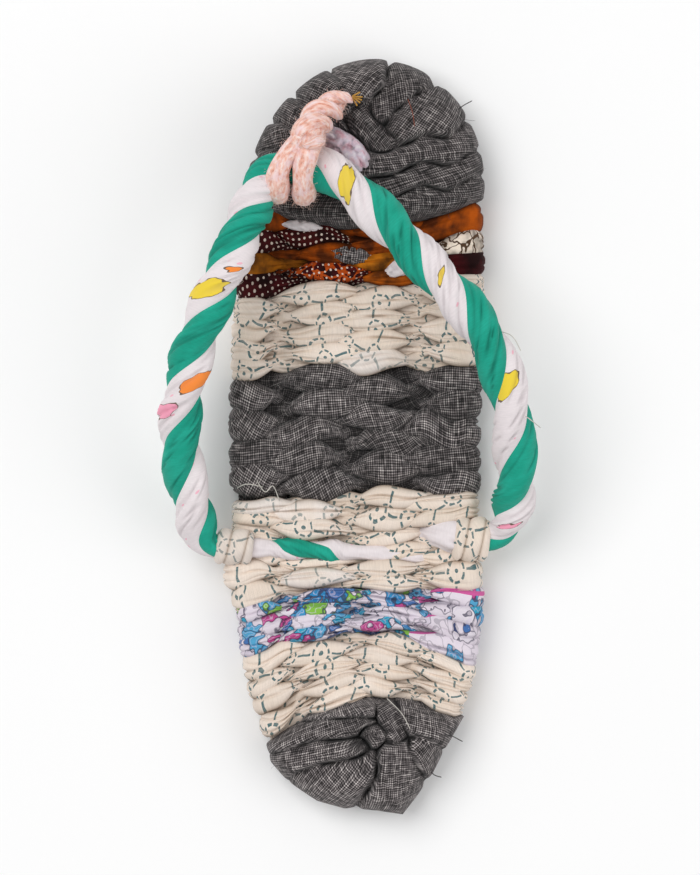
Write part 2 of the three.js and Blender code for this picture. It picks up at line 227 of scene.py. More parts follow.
# Ropes of cloth
ROPE_MARKS = [0.8, 1, 0, 0]  # a rope's tone, with all of its print, the first shade and no painted crease shade
STEP_ALONG = 0.7  # between a rope's stations
STEPS_PER_RADIUS = 8  # points round a rope, for each millimetre of its radius

# The strap's centre line, as in the solids
STRAP_ROUTE = [
    (-36.5, -36.4, 15.4),
    (-41.5, -36.4, 15.4),
    (-46.4, -36.3, 15.5),
    (-51.2, -32.6, 17.4),
    (-54, -22, 22.5),
    (-56.6, -10, 28),
    (-57.8, 2, 33),
    (-56.6, 14, 38),
    (-53.4, 27, 42),
    (-49, 39, 44.5),
    (-43.5, 52, 45),
    (-38.5, 63, 43.5),
    (-34.2, 74, 40),
    (-30.2, 82.5, 36.6),
    (-24.5, 87.3, 34.6),
    (-17, 88.8, 34),
    (-9.5, 87, 34.3),
    (-2, 82, 36),
    (6.5, 73.8, 39),
    (15.5, 64.5, 42),
    (25, 54, 44.5),
    (34.5, 43.5, 45.3),
    (42.5, 32, 44),
    (47.8, 20, 40.5),
    (50.8, 8, 35.5),
    (52, -4, 29.5),
    (52.2, -18.5, 22),
    (49.4, -29, 17.2),
    (44.6, -32.9, 15.5),
    (40.4, -33, 15.4),
    (34.5, -33, 15.4),
]
STRAP_PLY_RADIUS = 5.5
STRAP_PLY_OFFSET = 2
STRAP_GREEN_ON_TOP = [
    # places along the strap where the green ply comes round to the top, one turn apart
    (-45, -36.3),
    (-58, -3),
    (-51, 34),
    (-36.6, 68.6),
    (-23.6, 88),
    (14.6, 65.6),
    (42, 32.6),
    (51.8, -13),
    (36, -33),
]

# Printed spots on the white ply
STRAP_SPOTS = [
    # nearest place on the strap, shift round the ply, radius, colour
    (-3.5, 80.4, 0, 4.4, "#EFD23E"),
    (24.6, 62, 3, 1.7, "#F7A3BC"),
    (29, 52.6, 0, 1.8, "#EBCB4A"),
    (49.4, 18.7, 2.4, 4.2, "#EFD23E"),
    (50.4, -27, 0, 1.6, "#F7A3BC"),
    (-52.3, 49.7, -3, 4.4, "#EFD23E"),
    (-42.6, 55, 1, 1.5, "#F58C3A"),
    (-51.6, 20.3, 3.4, 4, "#F58C3A"),
    (-61, 10, -4, 3.4, "#F7A3BC"),
]

# The strap is thinner towards its ends, which run on across the sole, half sunk in the weave
STRAP_END_SHARE = 0.62  # of the full girth
STRAP_TAPER_START = 9  # from its end, where it starts to grow
STRAP_TAPER_END = 26  # from its end, where it is full
TAIL_ROUTES = [
    # name, ply radius, turns of the green ply from the top at distances along the route, route
    (
        "strap_tail_left",
        2.9,
        [(0, -0.5), (9, -0.5), (13, -0.2), (21, 0), (28, 0.2), (33, 0.5), (66, 0.55)],
        [
            (-37, -36.4, 14),
            (-30, -36.6, 13.4),
            (-16.5, -37, 13.4),
            (-4, -37.8, 12.4),
            (9, -38.4, 12.1),
            (20, -39.6, 10.9),
            (27, -40.6, 6),
        ],
    ),
    (
        "strap_tail_right",
        4.8,
        [(0, 0.42), (30, 0.56)],
        [(36, -33, 14), (31.4, -32.2, 13.8), (27.6, -31.6, 12.8), (24, -31.2, 9), (21, -31, 4)],
    ),
]
TAIL_PLY_OFFSET = 0.9
TAIL_LUMPS = 0.14  # how much thicker the lumps are, as a share
TAIL_LUMP_LENGTH = 2.2  # of rope for each radian of the lumps
TAIL_TAPER_START = 0.55  # share of its length
TAIL_TIP_SHARE = 0.5  # of the girth, at its tip

# Cloth loops that grip the strap
LOOPS = [
    # node, centre, radius along the sole, radius upwards, length, tone, how much print shows
    ("side_loop_left", (-40.4, -36.2, 15.2), 6.1, 6, 12.4, 0.2, 0.55),
    ("side_loop_right", (38, -33.6, 15.2), 7.6, 6.2, 12, 0.7, 1),
]
LOOP_STATIONS = 44
LOOP_POINTS = 56
LOOP_WINDINGS = 2.2
LOOP_GROOVE = 0.16  # depth between windings, as a share of the radius
LOOP_END_SHARE = 0.66  # of the radius, at the loop's ends
LOOP_CLOSING = 0.14  # share of the length over which an end closes
LOOP_SLANT = 0.5  # how far the windings lean along the strap
LOOP_LUMPS = 0.02  # as a share of the radius
LOOP_CLOTH_TURN = 0.5  # of the print, in radians
LOOP_CLOTH_SHIFT = 5.0

# Toe tie: turns of a fuzzy cord round the strap, and a twisted tail
TIE_TURNS = [
    # name, middle of the turn, slant across the strap, bow to the right
    ("toe_tie_turn_left", (-19.8, 89.2, 34), 0.58, -4.2),
    ("toe_tie_turn_right", (-15, 89.4, 34), 0.2, -1.8),
]
TIE_TURN_RADIUS = 9.7
TIE_TURN_ANGLES = (-1.2, math.tau - 1.5)  # from its front, so that its ends are hidden below
TIE_LUMPS = 0.12  # how much thicker the lumps are, as a share
TIE_CORD_RADIUS = 3.7
TIE_TAIL_ROUTE = [
    (-16.4, 92.5, 43.6),
    (-15.6, 97.5, 42),
    (-14, 101.8, 37),
    (-11.4, 105.6, 31),
    (-7.6, 109, 26.6),
    (-2.4, 112, 24.2),
]
TIE_TAIL_RADIUS = 2.9
TIE_TAIL_OFFSET = 3
TIE_TAIL_LAY = 21  # length of one turn of its two cords
TIE_TAPER_START = 0.7  # share of the tail's length
TIE_TIP_SHARE = 0.6  # of the girth, at its tip
TIE_LEG = [(-17, 86, 24), (-17, 86, 14), (-17, 86, 4)]
TIE_LEG_RADIUS = 3

# Scraps of cloth caught in the weave
SCRAPS = [
    # name, radius, share of the girth at its ends, cloth, slot, route
    (
        "lilac_scrap", 4.4, 0.8, "lilac_cotton", "bright_print",
        [(-11.6, 100, 12.5), (-8, 98.4, 18.6), (-3.4, 95.8, 19.8), (0.4, 92, 19), (2.4, 89.6, 12.5)],
    ),
    (
        "pale_scrap", 1.9, 0.2, "white_cotton", "green_cotton",
        [(-25, 70.6, 15.4), (-18, 70, 17), (-10.6, 69, 15.4)],
    ),
    (
        "cream_scrap", 3.2, 0.3, "white_cotton", "green_cotton",
        [(9.6, 54, 14), (14.6, 56.4, 16), (20, 59.4, 14)],
    ),
    (
        "grey_scrap", 3, 0.3, "grey_cloth", "grey_cloth",
        [(-9, 61.4, 14.8), (-2, 60.2, 16), (6, 59.4, 14.8)],
    ),
]
SCRAP_CREASE_RATE = 220  # to the metre

# Loose thread ends, from the cloth outwards
THREADS = [
    # name, route, cloth
    ("toe_rim_thread", [(30, 105, 16), (34.5, 109, 17.4), (38.5, 111.4, 16)], "dark_thread"),
    ("toe_top_thread", [(17, 112, 19), (18.6, 107, 21.4), (19.4, 102, 19.4)], "red_thread"),
    ("heel_side_thread", [(26, -98, 15), (31, -98.4, 17.6), (35.4, -100.6, 15.6)], "dark_thread"),
    ("heel_corner_thread", [(23, -108, 13), (25.6, -111.4, 14.6), (28.4, -112.6, 12)], "dark_thread"),
    ("weft_thread", [(-33, -14, 16), (-30, -18, 18.6), (-27.4, -16, 18.8), (-25, -21.8, 16)], "pale_thread"),
    ("weft_side_thread", [(-40, -17, 13), (-36, -15.4, 18.4), (-30.5, -16.4, 16.4)], "pale_thread"),
    ("heel_thread", [(10, -86, 16), (15, -91, 19.4), (18, -96.5, 18)], "pale_thread"),
    ("strap_thread", [(50.6, 10, 34), (56, 6.4, 40), (60.4, 3, 38)], "pale_thread"),
    ("strap_green_thread", [(44.6, 35, 44), (50.4, 33, 47.4), (53.6, 28, 45)], "pale_thread"),
]
THREAD_RADIUS = 0.16
FIBRE_RADIUS = 0.06
STRAW_RADIUS = 0.28
STRAW_TIP = (-1.4, 112.2, 24)
STRAW_ENDS = [(1.4, 113.6, 25), (2.2, 112, 24.4), (1.4, 110, 25), (2, 111, 23.6), (0.4, 109, 24.6)]


def smooth_route(points, count):
    """Points along a smooth curve through a route (Catmull-Rom)."""
    points = [np.array(p, dtype=float) for p in points]
    points = [2 * points[0] - points[1]] + points + [2 * points[-1] - points[-2]]
    route = []
    spans = len(points) - 3
    for step in range(count):
        place = step / (count - 1) * spans
        span = min(int(place), spans - 1)
        t = place - span
        a, b, c, d = points[span : span + 4]
        route.append(
            0.5 * (2 * b + (c - a) * t + (2 * a - 5 * b + 4 * c - d) * t * t + (3 * b - a - 3 * c + d) * t**3)
        )
    return np.array(route)


def travelled_along(points):
    """The distance travelled at each point of a route."""
    return np.concatenate([[0], np.cumsum(np.linalg.norm(np.diff(points, axis=0), axis=1))])


# How the strap runs, and how far its green ply has turned from the top at each point
strap_line = smooth_route(STRAP_ROUTE, 420)
strap_travelled = travelled_along(strap_line)
from_end = np.minimum(strap_travelled, strap_travelled[-1] - strap_travelled)
fullness = np.clip((from_end - STRAP_TAPER_START) / (STRAP_TAPER_END - STRAP_TAPER_START), 0, 1)
strap_girth = STRAP_END_SHARE + (1 - STRAP_END_SHARE) * fullness**2 * (3 - 2 * fullness)
on_top = [np.argmin(np.hypot(strap_line[:, 0] - x, strap_line[:, 1] - y)) for x, y in STRAP_GREEN_ON_TOP]
strap_turn = np.interp(strap_travelled, strap_travelled[on_top], math.tau * np.arange(len(on_top)))
smoothing = np.hanning(19) / np.hanning(19).sum()
strap_turn = np.convolve(np.pad(strap_turn, 9, mode="edge"), smoothing, mode="valid")


def strap_spots():
    """The printed spots of the strap's white ply: their places on the flat cloth, radius and colour."""
    spots = []
    for x, y, aside, radius, colour in STRAP_SPOTS:
        nearest = np.argmin(np.hypot(strap_line[:, 0] - x, strap_line[:, 1] - y))
        along = float(strap_travelled[nearest])
        angle = -strap_turn[nearest] % math.tau - math.pi
        spots.append((along, float(angle * STRAP_PLY_RADIUS + aside), radius, colour))
    return spots


def linear(hex_colour):
    """An sRGB hex colour as linear red, green, blue and alpha."""
    channels = [int(hex_colour[i : i + 2], 16) / 255 for i in (1, 3, 5)]
    return [c / 12.92 if c <= 0.04045 else ((c + 0.055) / 1.055) ** 2.4 for c in channels] + [1]


def add(tree, kind, ins=(), **settings):
    """Adds a node, whose kind may end in its operation or data type. Inputs are named, or in the order of
    the sockets in use. Each is a value, a hex colour, a socket, or a node (its first output in use)."""
    kind, *mode = kind.split()
    node = tree.nodes.new(kind if "Node" in kind else "ShaderNode" + kind)
    if mode:
        setattr(node, "operation" if hasattr(node, "operation") else "data_type", mode[0])
    for name, value in settings.items():
        setattr(node, name, value)
    if isinstance(ins, dict):
        sockets, ins = [node.inputs[key] for key in ins], ins.values()
    else:
        sockets = [socket for socket in node.inputs if socket.enabled]
    for socket, value in zip(sockets, ins):
        if isinstance(value, bpy.types.Node):
            value = next(output for output in value.outputs if output.enabled)
        if isinstance(value, bpy.types.NodeSocket):
            tree.links.new(value, socket)
        else:
            is_colour = isinstance(value, str) and value.startswith("#")
            socket.default_value = linear(value) if is_colour else value
    return node


def new_material(name):
    """An empty material, its node tree, and the place of each point on the cloth laid flat."""
    material = bpy.data.materials.new(name)
    material.use_nodes = True
    tree = material.node_tree
    tree.nodes.clear()
    return material, tree, add(tree, "UVMap", uv_map=FLAT)


def thread_weave(tree, flat, pitch):
    """A plain weave: the uneven tone of the threads each way, their heights, and a dome at each crossing."""
    scaled = add(tree, "VectorMath SCALE", [flat, 1 / pitch])
    tones = []
    for stretch in ((1.1, 0.14, 0), (0.14, 1.1, 0)):
        drawn = add(tree, "VectorMath MULTIPLY", [scaled, stretch])
        tones.append(add(tree, "TexNoise", {"Vector": drawn, "Scale": 1, "Detail": 2}))
    turns = add(tree, "VectorMath SCALE", [scaled, math.pi])
    waves = add(tree, "VectorMath SINE", [turns])
    heights = add(tree, "SeparateXYZ", [add(tree, "VectorMath ABSOLUTE", [waves])]).outputs[:2]
    return tones, heights, add(tree, "Math MULTIPLY", heights)


def clouds(tree, flat, size, detail, span):
    """Soft clouds of a size on the flat cloth. The span is the range they are stretched from and to."""
    noise = add(tree, "TexNoise", {"Vector": flat, "Scale": 1 / size, "Detail": detail})
    return add(tree, "MapRange", [noise, *span])


def wandering(tree, flat, places, size, reach, detail=1):
    """Places on the flat cloth that wander by up to the reach, so that a print isn't drawn straight."""
    noise = add(tree, "TexNoise", {"Vector": flat, "Scale": 1 / size, "Detail": detail})
    drift = add(tree, "VectorMath SCALE", [noise.outputs["Color"], reach])
    return add(tree, "VectorMath ADD", [places, drift])


def threaded(tree, colour, tone, low, high):
    """A colour that is uneven from thread to thread."""
    threads = add(tree, "MapRange", [tone, 0.3, 0.7, low, high])
    return add(tree, "Mix RGBA", [1, colour, threads], blend_type="MULTIPLY")


def creased(tree, colour, tone, depth, painted_shade_colour):
    """A strip's colour in its own tone, darkened by painted shade in the creases and dips."""
    toned = add(tree, "Mix RGBA", [1, colour, tone], blend_type="MULTIPLY")
    return add(tree, "Mix RGBA", [depth, toned, painted_shade_colour])


def fold_shaded(tree, colour, share, fold_shade_colour):
    """A ply's colour, with a share of painted shade in its folds."""
    fold = add(tree, "Attribute", attribute_name=FOLD).outputs["Fac"]
    shaded = add(tree, "Math MULTIPLY", [fold, share])
    return add(tree, "Mix RGBA", [shaded, colour, fold_shade_colour])


def finish_cloth(tree, colour, height, bump_mm, roughness, sheen):
    """Ends a cloth's tree in its shader, with the bump of its threads. Their tops are a little smoother."""
    bump = add(tree, "Bump", {"Strength": 0.6, "Distance": bump_mm * MM, "Height": height})
    rubbed = add(tree, "MapRange", [height, 0, 1, roughness, roughness - 0.12])
    looks = {"Base Color": colour, "Normal": bump, "Roughness": rubbed, "Sheen Weight": sheen}
    looks |= {"Sheen Roughness": 0.6, "Specular IOR Level": 0.2}
    add(tree, "OutputMaterial", [add(tree, "BsdfPrincipled", looks)])


def strip_marks(tree, low):
    """Reads a strip's marks: tone from low to one, how much print shows, dye shade, and painted crease shade.
    """
    mark = add(tree, "Attribute", attribute_name=MARK)
    tone, print_share, shade = add(tree, "SeparateColor", [mark]).outputs
    return add(tree, "MapRange", [tone, 0, 1, low, 1]), print_share, shade, mark.outputs["Alpha"]


def colour_steps(ramp, colours, stepped=True):
    """Fills a colour ramp with colours at equal steps."""
    ramp.interpolation = "CONSTANT" if stepped else "LINEAR"
    while len(ramp.elements) < len(colours):
        ramp.elements.new(0.5)
    for i, colour in enumerate(colours):
        ramp.elements[i].position = i / len(colours) if stepped else i / (len(colours) - 1)
        ramp.elements[i].color = linear(colour)


def grey_chambray():
    """Coarse cotton chambray: uneven off-white threads over black give broken pale lines on a dark ground."""
    material, tree, flat = new_material("coarse_cotton_chambray")
    thread = 0.75  # drawn coarser than the real thread, so that it shows
    tones, heights, dome = thread_weave(tree, flat, thread)
    lines = []
    for tone, height in zip(tones, heights):
        uneven = add(tree, "MapRange", [tone, 0.32, 0.68, 0.2, 1])
        lines.append(add(tree, "Math MULTIPLY", [uneven, height]))
    pale = add(tree, "Math MULTIPLY", [add(tree, "Math ADD", lines), 0.62])
    ramp = add(tree, "ValToRGB", [pale])
    colour_steps(ramp.color_ramp, ("#0C0B0B", "#2B2828", "#8A8282", "#E2DAD6"), stepped=False)
    tone, _, _, depth = strip_marks(tree, low=0.58)
    # Painted shade in the creases and where strips dip under
    strips = creased(tree, ramp, tone, depth, "#0E0D0D")
    finish_cloth(tree, strips, dome, bump_mm=0.3, roughness=0.92, sheen=0.1)
    return material


def lattice_print(tree, flat):
    """A geometric print: short lines between rings of dashes round a dot. One where there is ink."""
    repeat = 10.8  # between rings
    ring_radius = 2.6
    ring_dashes = 7
    dash_share = 0.7
    ring_margin = 0.9  # between a ring and the ends of the lines
    dot_radius = 0.6
    line_width = 0.7
    drawn = wandering(tree, flat, flat, size=5, reach=2.4)
    scaled = add(tree, "VectorMath SCALE", [drawn, 1 / repeat])
    within = add(tree, "VectorMath FRACTION", [scaled])
    centred = add(tree, "VectorMath SUBTRACT", [within, (0.5, 0.5, 0)])
    place = add(tree, "VectorMath MULTIPLY", [centred, (repeat, repeat, 0)])
    reach = add(tree, "VectorMath LENGTH", [place])
    x, y, _ = add(tree, "SeparateXYZ", [place]).outputs
    angle = add(tree, "Math ARCTAN2", [y, x])
    turns = add(tree, "Math MULTIPLY", [angle, ring_dashes / math.tau])
    dashed = add(tree, "Math LESS_THAN", [add(tree, "Math FRACT", [turns]), dash_share])
    clear = add(tree, "Math GREATER_THAN", [reach, ring_radius + ring_margin])
    ink = add(tree, "Math LESS_THAN", [reach, dot_radius])
    # Each mark: what is measured, the value it lies at, and where it is drawn
    for measured, middle, drawn_where in ((reach, ring_radius, dashed), (x, 0, clear), (y, 0, clear)):
        near = add(tree, "Math COMPARE", [measured, middle, line_width / 2])
        mark = add(tree, "Math MULTIPLY", [near, drawn_where])
        ink = add(tree, "Math MAXIMUM", [ink, mark])
    return ink


def cream_cotton():
    """Plain-woven cream cotton with a broken teal lattice, paler where its back shows, painted brown shade in
    creases.
    """
    material, tree, flat = new_material("printed_cream_cotton")
    tones, _, dome = thread_weave(tree, flat, pitch=0.55)
    tone, print_share, _, depth = strip_marks(tree, low=0.88)
    ground = add(tree, "Mix RGBA", [print_share, "#F0E8E4", "#F2E3D6"])
    patches = clouds(tree, flat, size=14.286, detail=2, span=(0.38, 0.7, 0, 0.4))
    aged = add(tree, "Mix RGBA", [patches, ground, "#E2CDB6"])
    strength = add(tree, "Math SQRT", [print_share])
    ink = add(tree, "Math MULTIPLY", [lattice_print(tree, flat), strength])
    worn = add(tree, "MapRange", [tones[1], 0.3, 0.6, 0.7, 0.95])
    shown = add(tree, "Math MULTIPLY", [ink, worn])
    printed = add(tree, "Mix RGBA", [shown, aged, "#33646A"])
    woven = threaded(tree, printed, tones[0], low=0.92, high=1.03)
    # Painted brown shade in the creases and where strips dip under
    strips = creased(tree, woven, tone, depth, "#8A7056")
    finish_cloth(tree, strips, dome, bump_mm=0.12, roughness=0.88, sheen=0.1)
    return material


def brown_batik():
    """Wax-resist dyed cotton: rust, ochre and maroon grounds with rows of pale resist dots and crackle."""
    material, tree, flat = new_material("wax_resist_cotton")
    _, _, dome = thread_weave(tree, flat, pitch=0.5)
    tone, _, shade, depth = strip_marks(tree, low=0.62)
    ramp = add(tree, "ValToRGB", [shade])
    colour_steps(ramp.color_ramp, BROWN_SHADES.values())
    stain = clouds(tree, flat, size=6.25, detail=3, span=(0.38, 0.64, 0.24, 1.2))
    dyed = add(tree, "Mix RGBA", [1, ramp, stain], blend_type="MULTIPLY")
    dot_pitch = 1.9
    leaf_pitch = 9
    crack_pitch = 4.6
    dots = add(tree, "TexVoronoi", {"Vector": flat, "Scale": 1 / dot_pitch, "Randomness": 0.2})
    leaves = add(tree, "TexVoronoi", {"Vector": flat, "Scale": 1 / leaf_pitch})
    cracked = {"Vector": wandering(tree, flat, flat, size=5, reach=8, detail=2), "Scale": 1 / crack_pitch}
    cracks = add(tree, "TexVoronoi", cracked, feature="DISTANCE_TO_EDGE")
    # Each mark: its pattern, the distance that it fills, the shade it is on, and its colour
    marks = [
        (dots, 0.23, "dots", "#DCCBBE"),
        (leaves, 0.34, "leaf", "#E9DFD0"),
        (dots, 0.23, "leaf", "#DCCBBE"),
        (cracks, 0.045, "crackle", "#57402F"),
        (cracks, 0.09, "scroll", "#B44A10"),
        (dots, 0.2, "scroll", "#DCCBBE"),
    ]
    for pattern, size, name, colour in marks:
        inside = add(tree, "Math LESS_THAN", [pattern, size])
        here = add(tree, "Math COMPARE", [shade, SHADE_PLACES[name], 0.05])
        shown = add(tree, "Math MULTIPLY", [inside, here])
        dyed = add(tree, "Mix RGBA", [shown, dyed, colour])
    # Painted shade in the creases and where strips dip under
    strips = creased(tree, dyed, tone, depth, "#1E0D06")
    finish_cloth(tree, strips, dome, bump_mm=0.1, roughness=0.9, sheen=0)
    return material


def bright_print():
    """Printed cotton: a pale ground with blue, teal, pink and lime shapes in dark outline, and pink lines."""
    material, tree, flat = new_material("bright_printed_cotton")
    _, _, dome = thread_weave(tree, flat, pitch=0.5)
    tone, print_share, _, depth = strip_marks(tree, low=0.88)
    shape_size = 4.4
    line_repeat = 15  # between the pink lines on the paler part of the print
    line_width = 1.1
    longer = add(tree, "VectorMath MULTIPLY", [flat, (0.7, 1, 1)])
    drawn = wandering(tree, flat, longer, size=4.1667, reach=9)
    shaped = {"Vector": drawn, "Scale": 1 / shape_size}
    shapes = add(tree, "TexVoronoi", shaped)
    edges = add(tree, "TexVoronoi", shaped, feature="DISTANCE_TO_EDGE")
    pick, chance, _ = add(tree, "SeparateColor", [shapes.outputs["Color"]]).outputs
    ramp = add(tree, "ValToRGB", [pick])
    pale_inks = ("#E4DAE4", "#D9CFDC", "#E6DEE7")
    bright_inks = ("#2F8CC4", "#2FA3C4", "#4672B0", "#86BE48", "#55A6D0", "#3B97C8", "#C24A8E")
    colour_steps(ramp.color_ramp, pale_inks + bright_inks)
    inked = add(tree, "Math LESS_THAN", [chance, print_share])
    printed = add(tree, "Mix RGBA", [inked, "#E4DAE4", ramp])
    # A thin outline, fainter on the ground, and a paler ring inside each shape
    firmness = add(tree, "MapRange", [inked, 0, 1, 0.45, 1])
    for inner, outer, colour, strength in ((0.16, 0.21, "#D8CDE0", 0.5), (-1, 0.06, "#3A3552", 0.8)):
        beyond = add(tree, "Math GREATER_THAN", [edges, inner])
        within = add(tree, "Math LESS_THAN", [edges, outer])
        ring = beyond
        for factor in (within, firmness, strength):
            ring = add(tree, "Math MULTIPLY", [ring, factor])
        printed = add(tree, "Mix RGBA", [ring, printed, colour])
    up_cloth = add(tree, "SeparateXYZ", [flat]).outputs[1]
    from_line = add(tree, "Math PINGPONG", [up_cloth, line_repeat / 2])
    line = add(tree, "Math LESS_THAN", [from_line, line_width / 2])
    on_ground = add(tree, "Math LESS_THAN", [print_share, 0.4])
    shown = add(tree, "Math MULTIPLY", [line, on_ground])
    lined = add(tree, "Mix RGBA", [shown, printed, "#CE5A9C"])
    # Painted shade in the creases and where strips dip under
    strips = creased(tree, lined, tone, depth, "#3C3550")
    finish_cloth(tree, strips, dome, bump_mm=0.1, roughness=0.86, sheen=0.1)
    return material


def green_cotton():
    """Piece-dyed green cotton, smooth and tightly woven, paler where it is worn, with painted shade in its
    folds.
    """
    material, tree, flat = new_material("dyed_green_cotton")
    tones, _, dome = thread_weave(tree, flat, pitch=0.45)
    wear = clouds(tree, flat, size=8.333, detail=2, span=(0.4, 0.65))
    dyed = add(tree, "Mix RGBA", [wear, "#0A9A82", "#1AA890"])
    woven = threaded(tree, dyed, tones[0], low=0.9, high=1.05)
    # Painted shade in the ply's folds
    ply = fold_shaded(tree, woven, 0.4, "#05584B")
    finish_cloth(tree, ply, dome, bump_mm=0.08, roughness=0.74, sheen=0.06)
    return material


def spotted_cotton(spots):
    """White cotton printed with tiny pink dots and a few larger warm spots in dark outline."""
    material, tree, flat = new_material("spotted_white_cotton")
    tones, _, dome = thread_weave(tree, flat, pitch=0.45)
    dot_pitch = 5.5
    outline = 0.35  # the width of the line round a spot
    wander = 4.5  # how far the spots' outlines may wander
    ground = threaded(tree, "#EBE2E4", tones[0], low=0.94, high=1.02)
    dots = add(tree, "TexVoronoi", {"Vector": flat, "Scale": 1 / dot_pitch})
    faint = add(tree, "Math MULTIPLY", [add(tree, "Math LESS_THAN", [dots, 0.11]), 0.8])
    printed = add(tree, "Mix RGBA", [faint, ground, "#F2A9BC"])
    drawn = wandering(tree, flat, flat, size=3.3333, reach=wander)
    level = add(tree, "VectorMath MULTIPLY", [drawn, (1, 1, 0)])
    for along, around, radius, colour in spots:
        middle = (along + wander / 2, around + wander / 2, 0)
        away = add(tree, "VectorMath DISTANCE", [level, middle])
        for size, ink in ((radius + outline, "#6B5A4A"), (radius, colour)):
            inside = add(tree, "Math LESS_THAN", [away, size])
            printed = add(tree, "Mix RGBA", [inside, printed, ink])
    # Painted shade in the ply's folds
    ply = fold_shaded(tree, printed, 0.12, "#9C8F92")
    finish_cloth(tree, ply, dome, bump_mm=0.08, roughness=0.8, sheen=0.12)
    return material


def lilac_cotton():
    """Thin lilac cotton, worn and blotched with pink."""
    material, tree, flat = new_material("worn_lilac_cotton")
    tones, _, dome = thread_weave(tree, flat, pitch=0.45)
    blotches = clouds(tree, flat, size=2.857, detail=3, span=(0.35, 0.68))
    ramp = add(tree, "ValToRGB", [blotches])
    colour_steps(ramp.color_ramp, ("#D0A0AE", "#E3C8D2", "#DCCFDC", "#EFE6EA"), stepped=False)
    woven = threaded(tree, ramp, tones[0], low=0.9, high=1.03)
    finish_cloth(tree, woven, dome, bump_mm=0.1, roughness=0.85, sheen=0.12)
    return material


def fuzzy_cord():
    """Soft brushed cotton cord in peach, with paler and more orange fibres along it."""
    material, tree, flat = new_material("brushed_peach_cotton")
    fibre_size = 1.25
    drawn = add(tree, "VectorMath MULTIPLY", [flat, (0.75, 1, 0)])
    fibres = add(tree, "TexNoise", {"Vector": drawn, "Scale": 1 / fibre_size, "Detail": 4})
    ramp = add(tree, "ValToRGB", [add(tree, "MapRange", [fibres, 0.3, 0.7])])
    colour_steps(ramp.color_ramp, ("#CF846D", "#E9AF9C", "#F2CDC1", "#F6E7E3"), stepped=False)
    tufts = clouds(tree, flat, size=2.5, detail=3, span=(0.48, 0.62, 0, 0.7))
    colour = add(tree, "Mix RGBA", [tufts, ramp, "#EED6DA"])
    finish_cloth(tree, colour, fibres, bump_mm=0.6, roughness=0.95, sheen=0.3)
    return material


def plain_thread(name, colour, roughness=0.9):
    """A single loose thread or fibre: its colour varies a little along it."""
    material, tree, _ = new_material(name)
    cloud_size = 3.3333
    place = add(tree, "TexCoord").outputs["Object"]
    cloud = add(tree, "TexNoise", {"Vector": place, "Scale": 1 / (cloud_size * MM)})
    shadow = [0.6 * channel for channel in linear(colour)[:3]] + [1]
    varied = add(tree, "Mix RGBA", [cloud, shadow, colour])
    shader = add(tree, "BsdfPrincipled", {"Base Color": varied, "Roughness": roughness})
    add(tree, "OutputMaterial", [shader])
    return material


CLOTHS = {
    "grey_cloth": grey_chambray(),
    "cream_print": cream_cotton(),
    "brown_batik": brown_batik(),
    "bright_print": bright_print(),
    "green_cotton": green_cotton(),
    "white_cotton": spotted_cotton(strap_spots()),
    "lilac_cotton": lilac_cotton(),
    "pink_cord": fuzzy_cord(),
    "pale_thread": plain_thread("loose_white_thread", "#D9D4CC"),
    "dark_thread": plain_thread("loose_black_thread", "#3A383A"),
    "red_thread": plain_thread("loose_red_thread", "#8A4A3A"),
    "peach_fibre": plain_thread("loose_peach_fibre", "#F2CFC2", 0.95),
    "straw": plain_thread("dry_straw", "#C8963F", 0.7),
}


def placed(name, data):
    """A new object in the scene."""
    piece = bpy.data.objects.new(name, data)
    bpy.context.collection.objects.link(piece)
    return piece


class ClothMesh:
    """Gathers tubes and sheets of one piece, with each corner's place on the flat cloth."""

    def __init__(self):
        self.points = []
        self.faces = []
        self.flat = []
        self.marks = []

    def add_sheet(self, points, flat, turn, shift, marks, depth):
        """Adds a grid of points that closes round on itself. turn, shift and marks are given for each face,
        and depth, the painted shade of each point in creases and hollows, goes into the marks' alpha."""
        stations, around, _ = points.shape
        start = sum(len(p) for p in self.points)
        self.points.append(points.reshape(-1, 3))
        s, k = np.meshgrid(np.arange(stations - 1), np.arange(around), indexing="ij")
        s, k = s.ravel(), k.ravel()
        corners = [(s, k), (s, k + 1), (s + 1, k + 1), (s + 1, k)]
        faces = np.stack([start + a * around + b % around for a, b in corners], axis=1)
        places = np.stack([flat[a, b] for a, b in corners], axis=1)
        cos, sin = np.cos(turn)[s, k, None], np.sin(turn)[s, k, None]
        u, v = places[..., 0], places[..., 1]
        turned = np.stack([u * cos - v * sin, u * sin + v * cos], axis=-1)
        self.faces.extend(faces.tolist())
        self.flat.append((turned + shift[s, k][:, None, :]).reshape(-1, 2))
        corner_marks = np.repeat(marks[s, k], 4, axis=0)
        corner_marks[:, 3] = np.stack([depth[a, b % around] for a, b in corners], axis=1).ravel()
        self.marks.append(corner_marks)
        for station, step in ((0, -1), (stations - 1, 1)):
            ring = start + station * around + np.arange(around)
            self.faces.append(ring[::step].tolist())
            self.flat.append(flat[station, :around][::step])
            self.marks.append(np.repeat(marks[max(station - 1, 0), :1], around, axis=0))

    def piece(self, name, material):
        """Makes the mesh object, in metres at the origin."""
        mesh = bpy.data.meshes.new(name)
        mesh.from_pydata((np.concatenate(self.points) * MM).tolist(), [], self.faces)
        flat_map = mesh.uv_layers.new(name=FLAT)
        flat_map.data.foreach_set("uv", np.concatenate(self.flat).ravel().astype(np.float32))
        marks = mesh.color_attributes.new(MARK, "FLOAT_COLOR", "CORNER")
        marks.data.foreach_set("color", np.concatenate(self.marks).ravel().astype(np.float32))
        mesh.polygons.foreach_set("use_smooth", np.ones(len(mesh.polygons), dtype=bool))
        mesh.materials.append(material)
        mesh.update()
        return placed(name, mesh)


def dress(piece, slot, *nodes):
    """Lets a piece ride on the sandal and stand for solids, which it hides. The slot is not used."""
    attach(piece, "root")
    if nodes:
        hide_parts(*nodes)


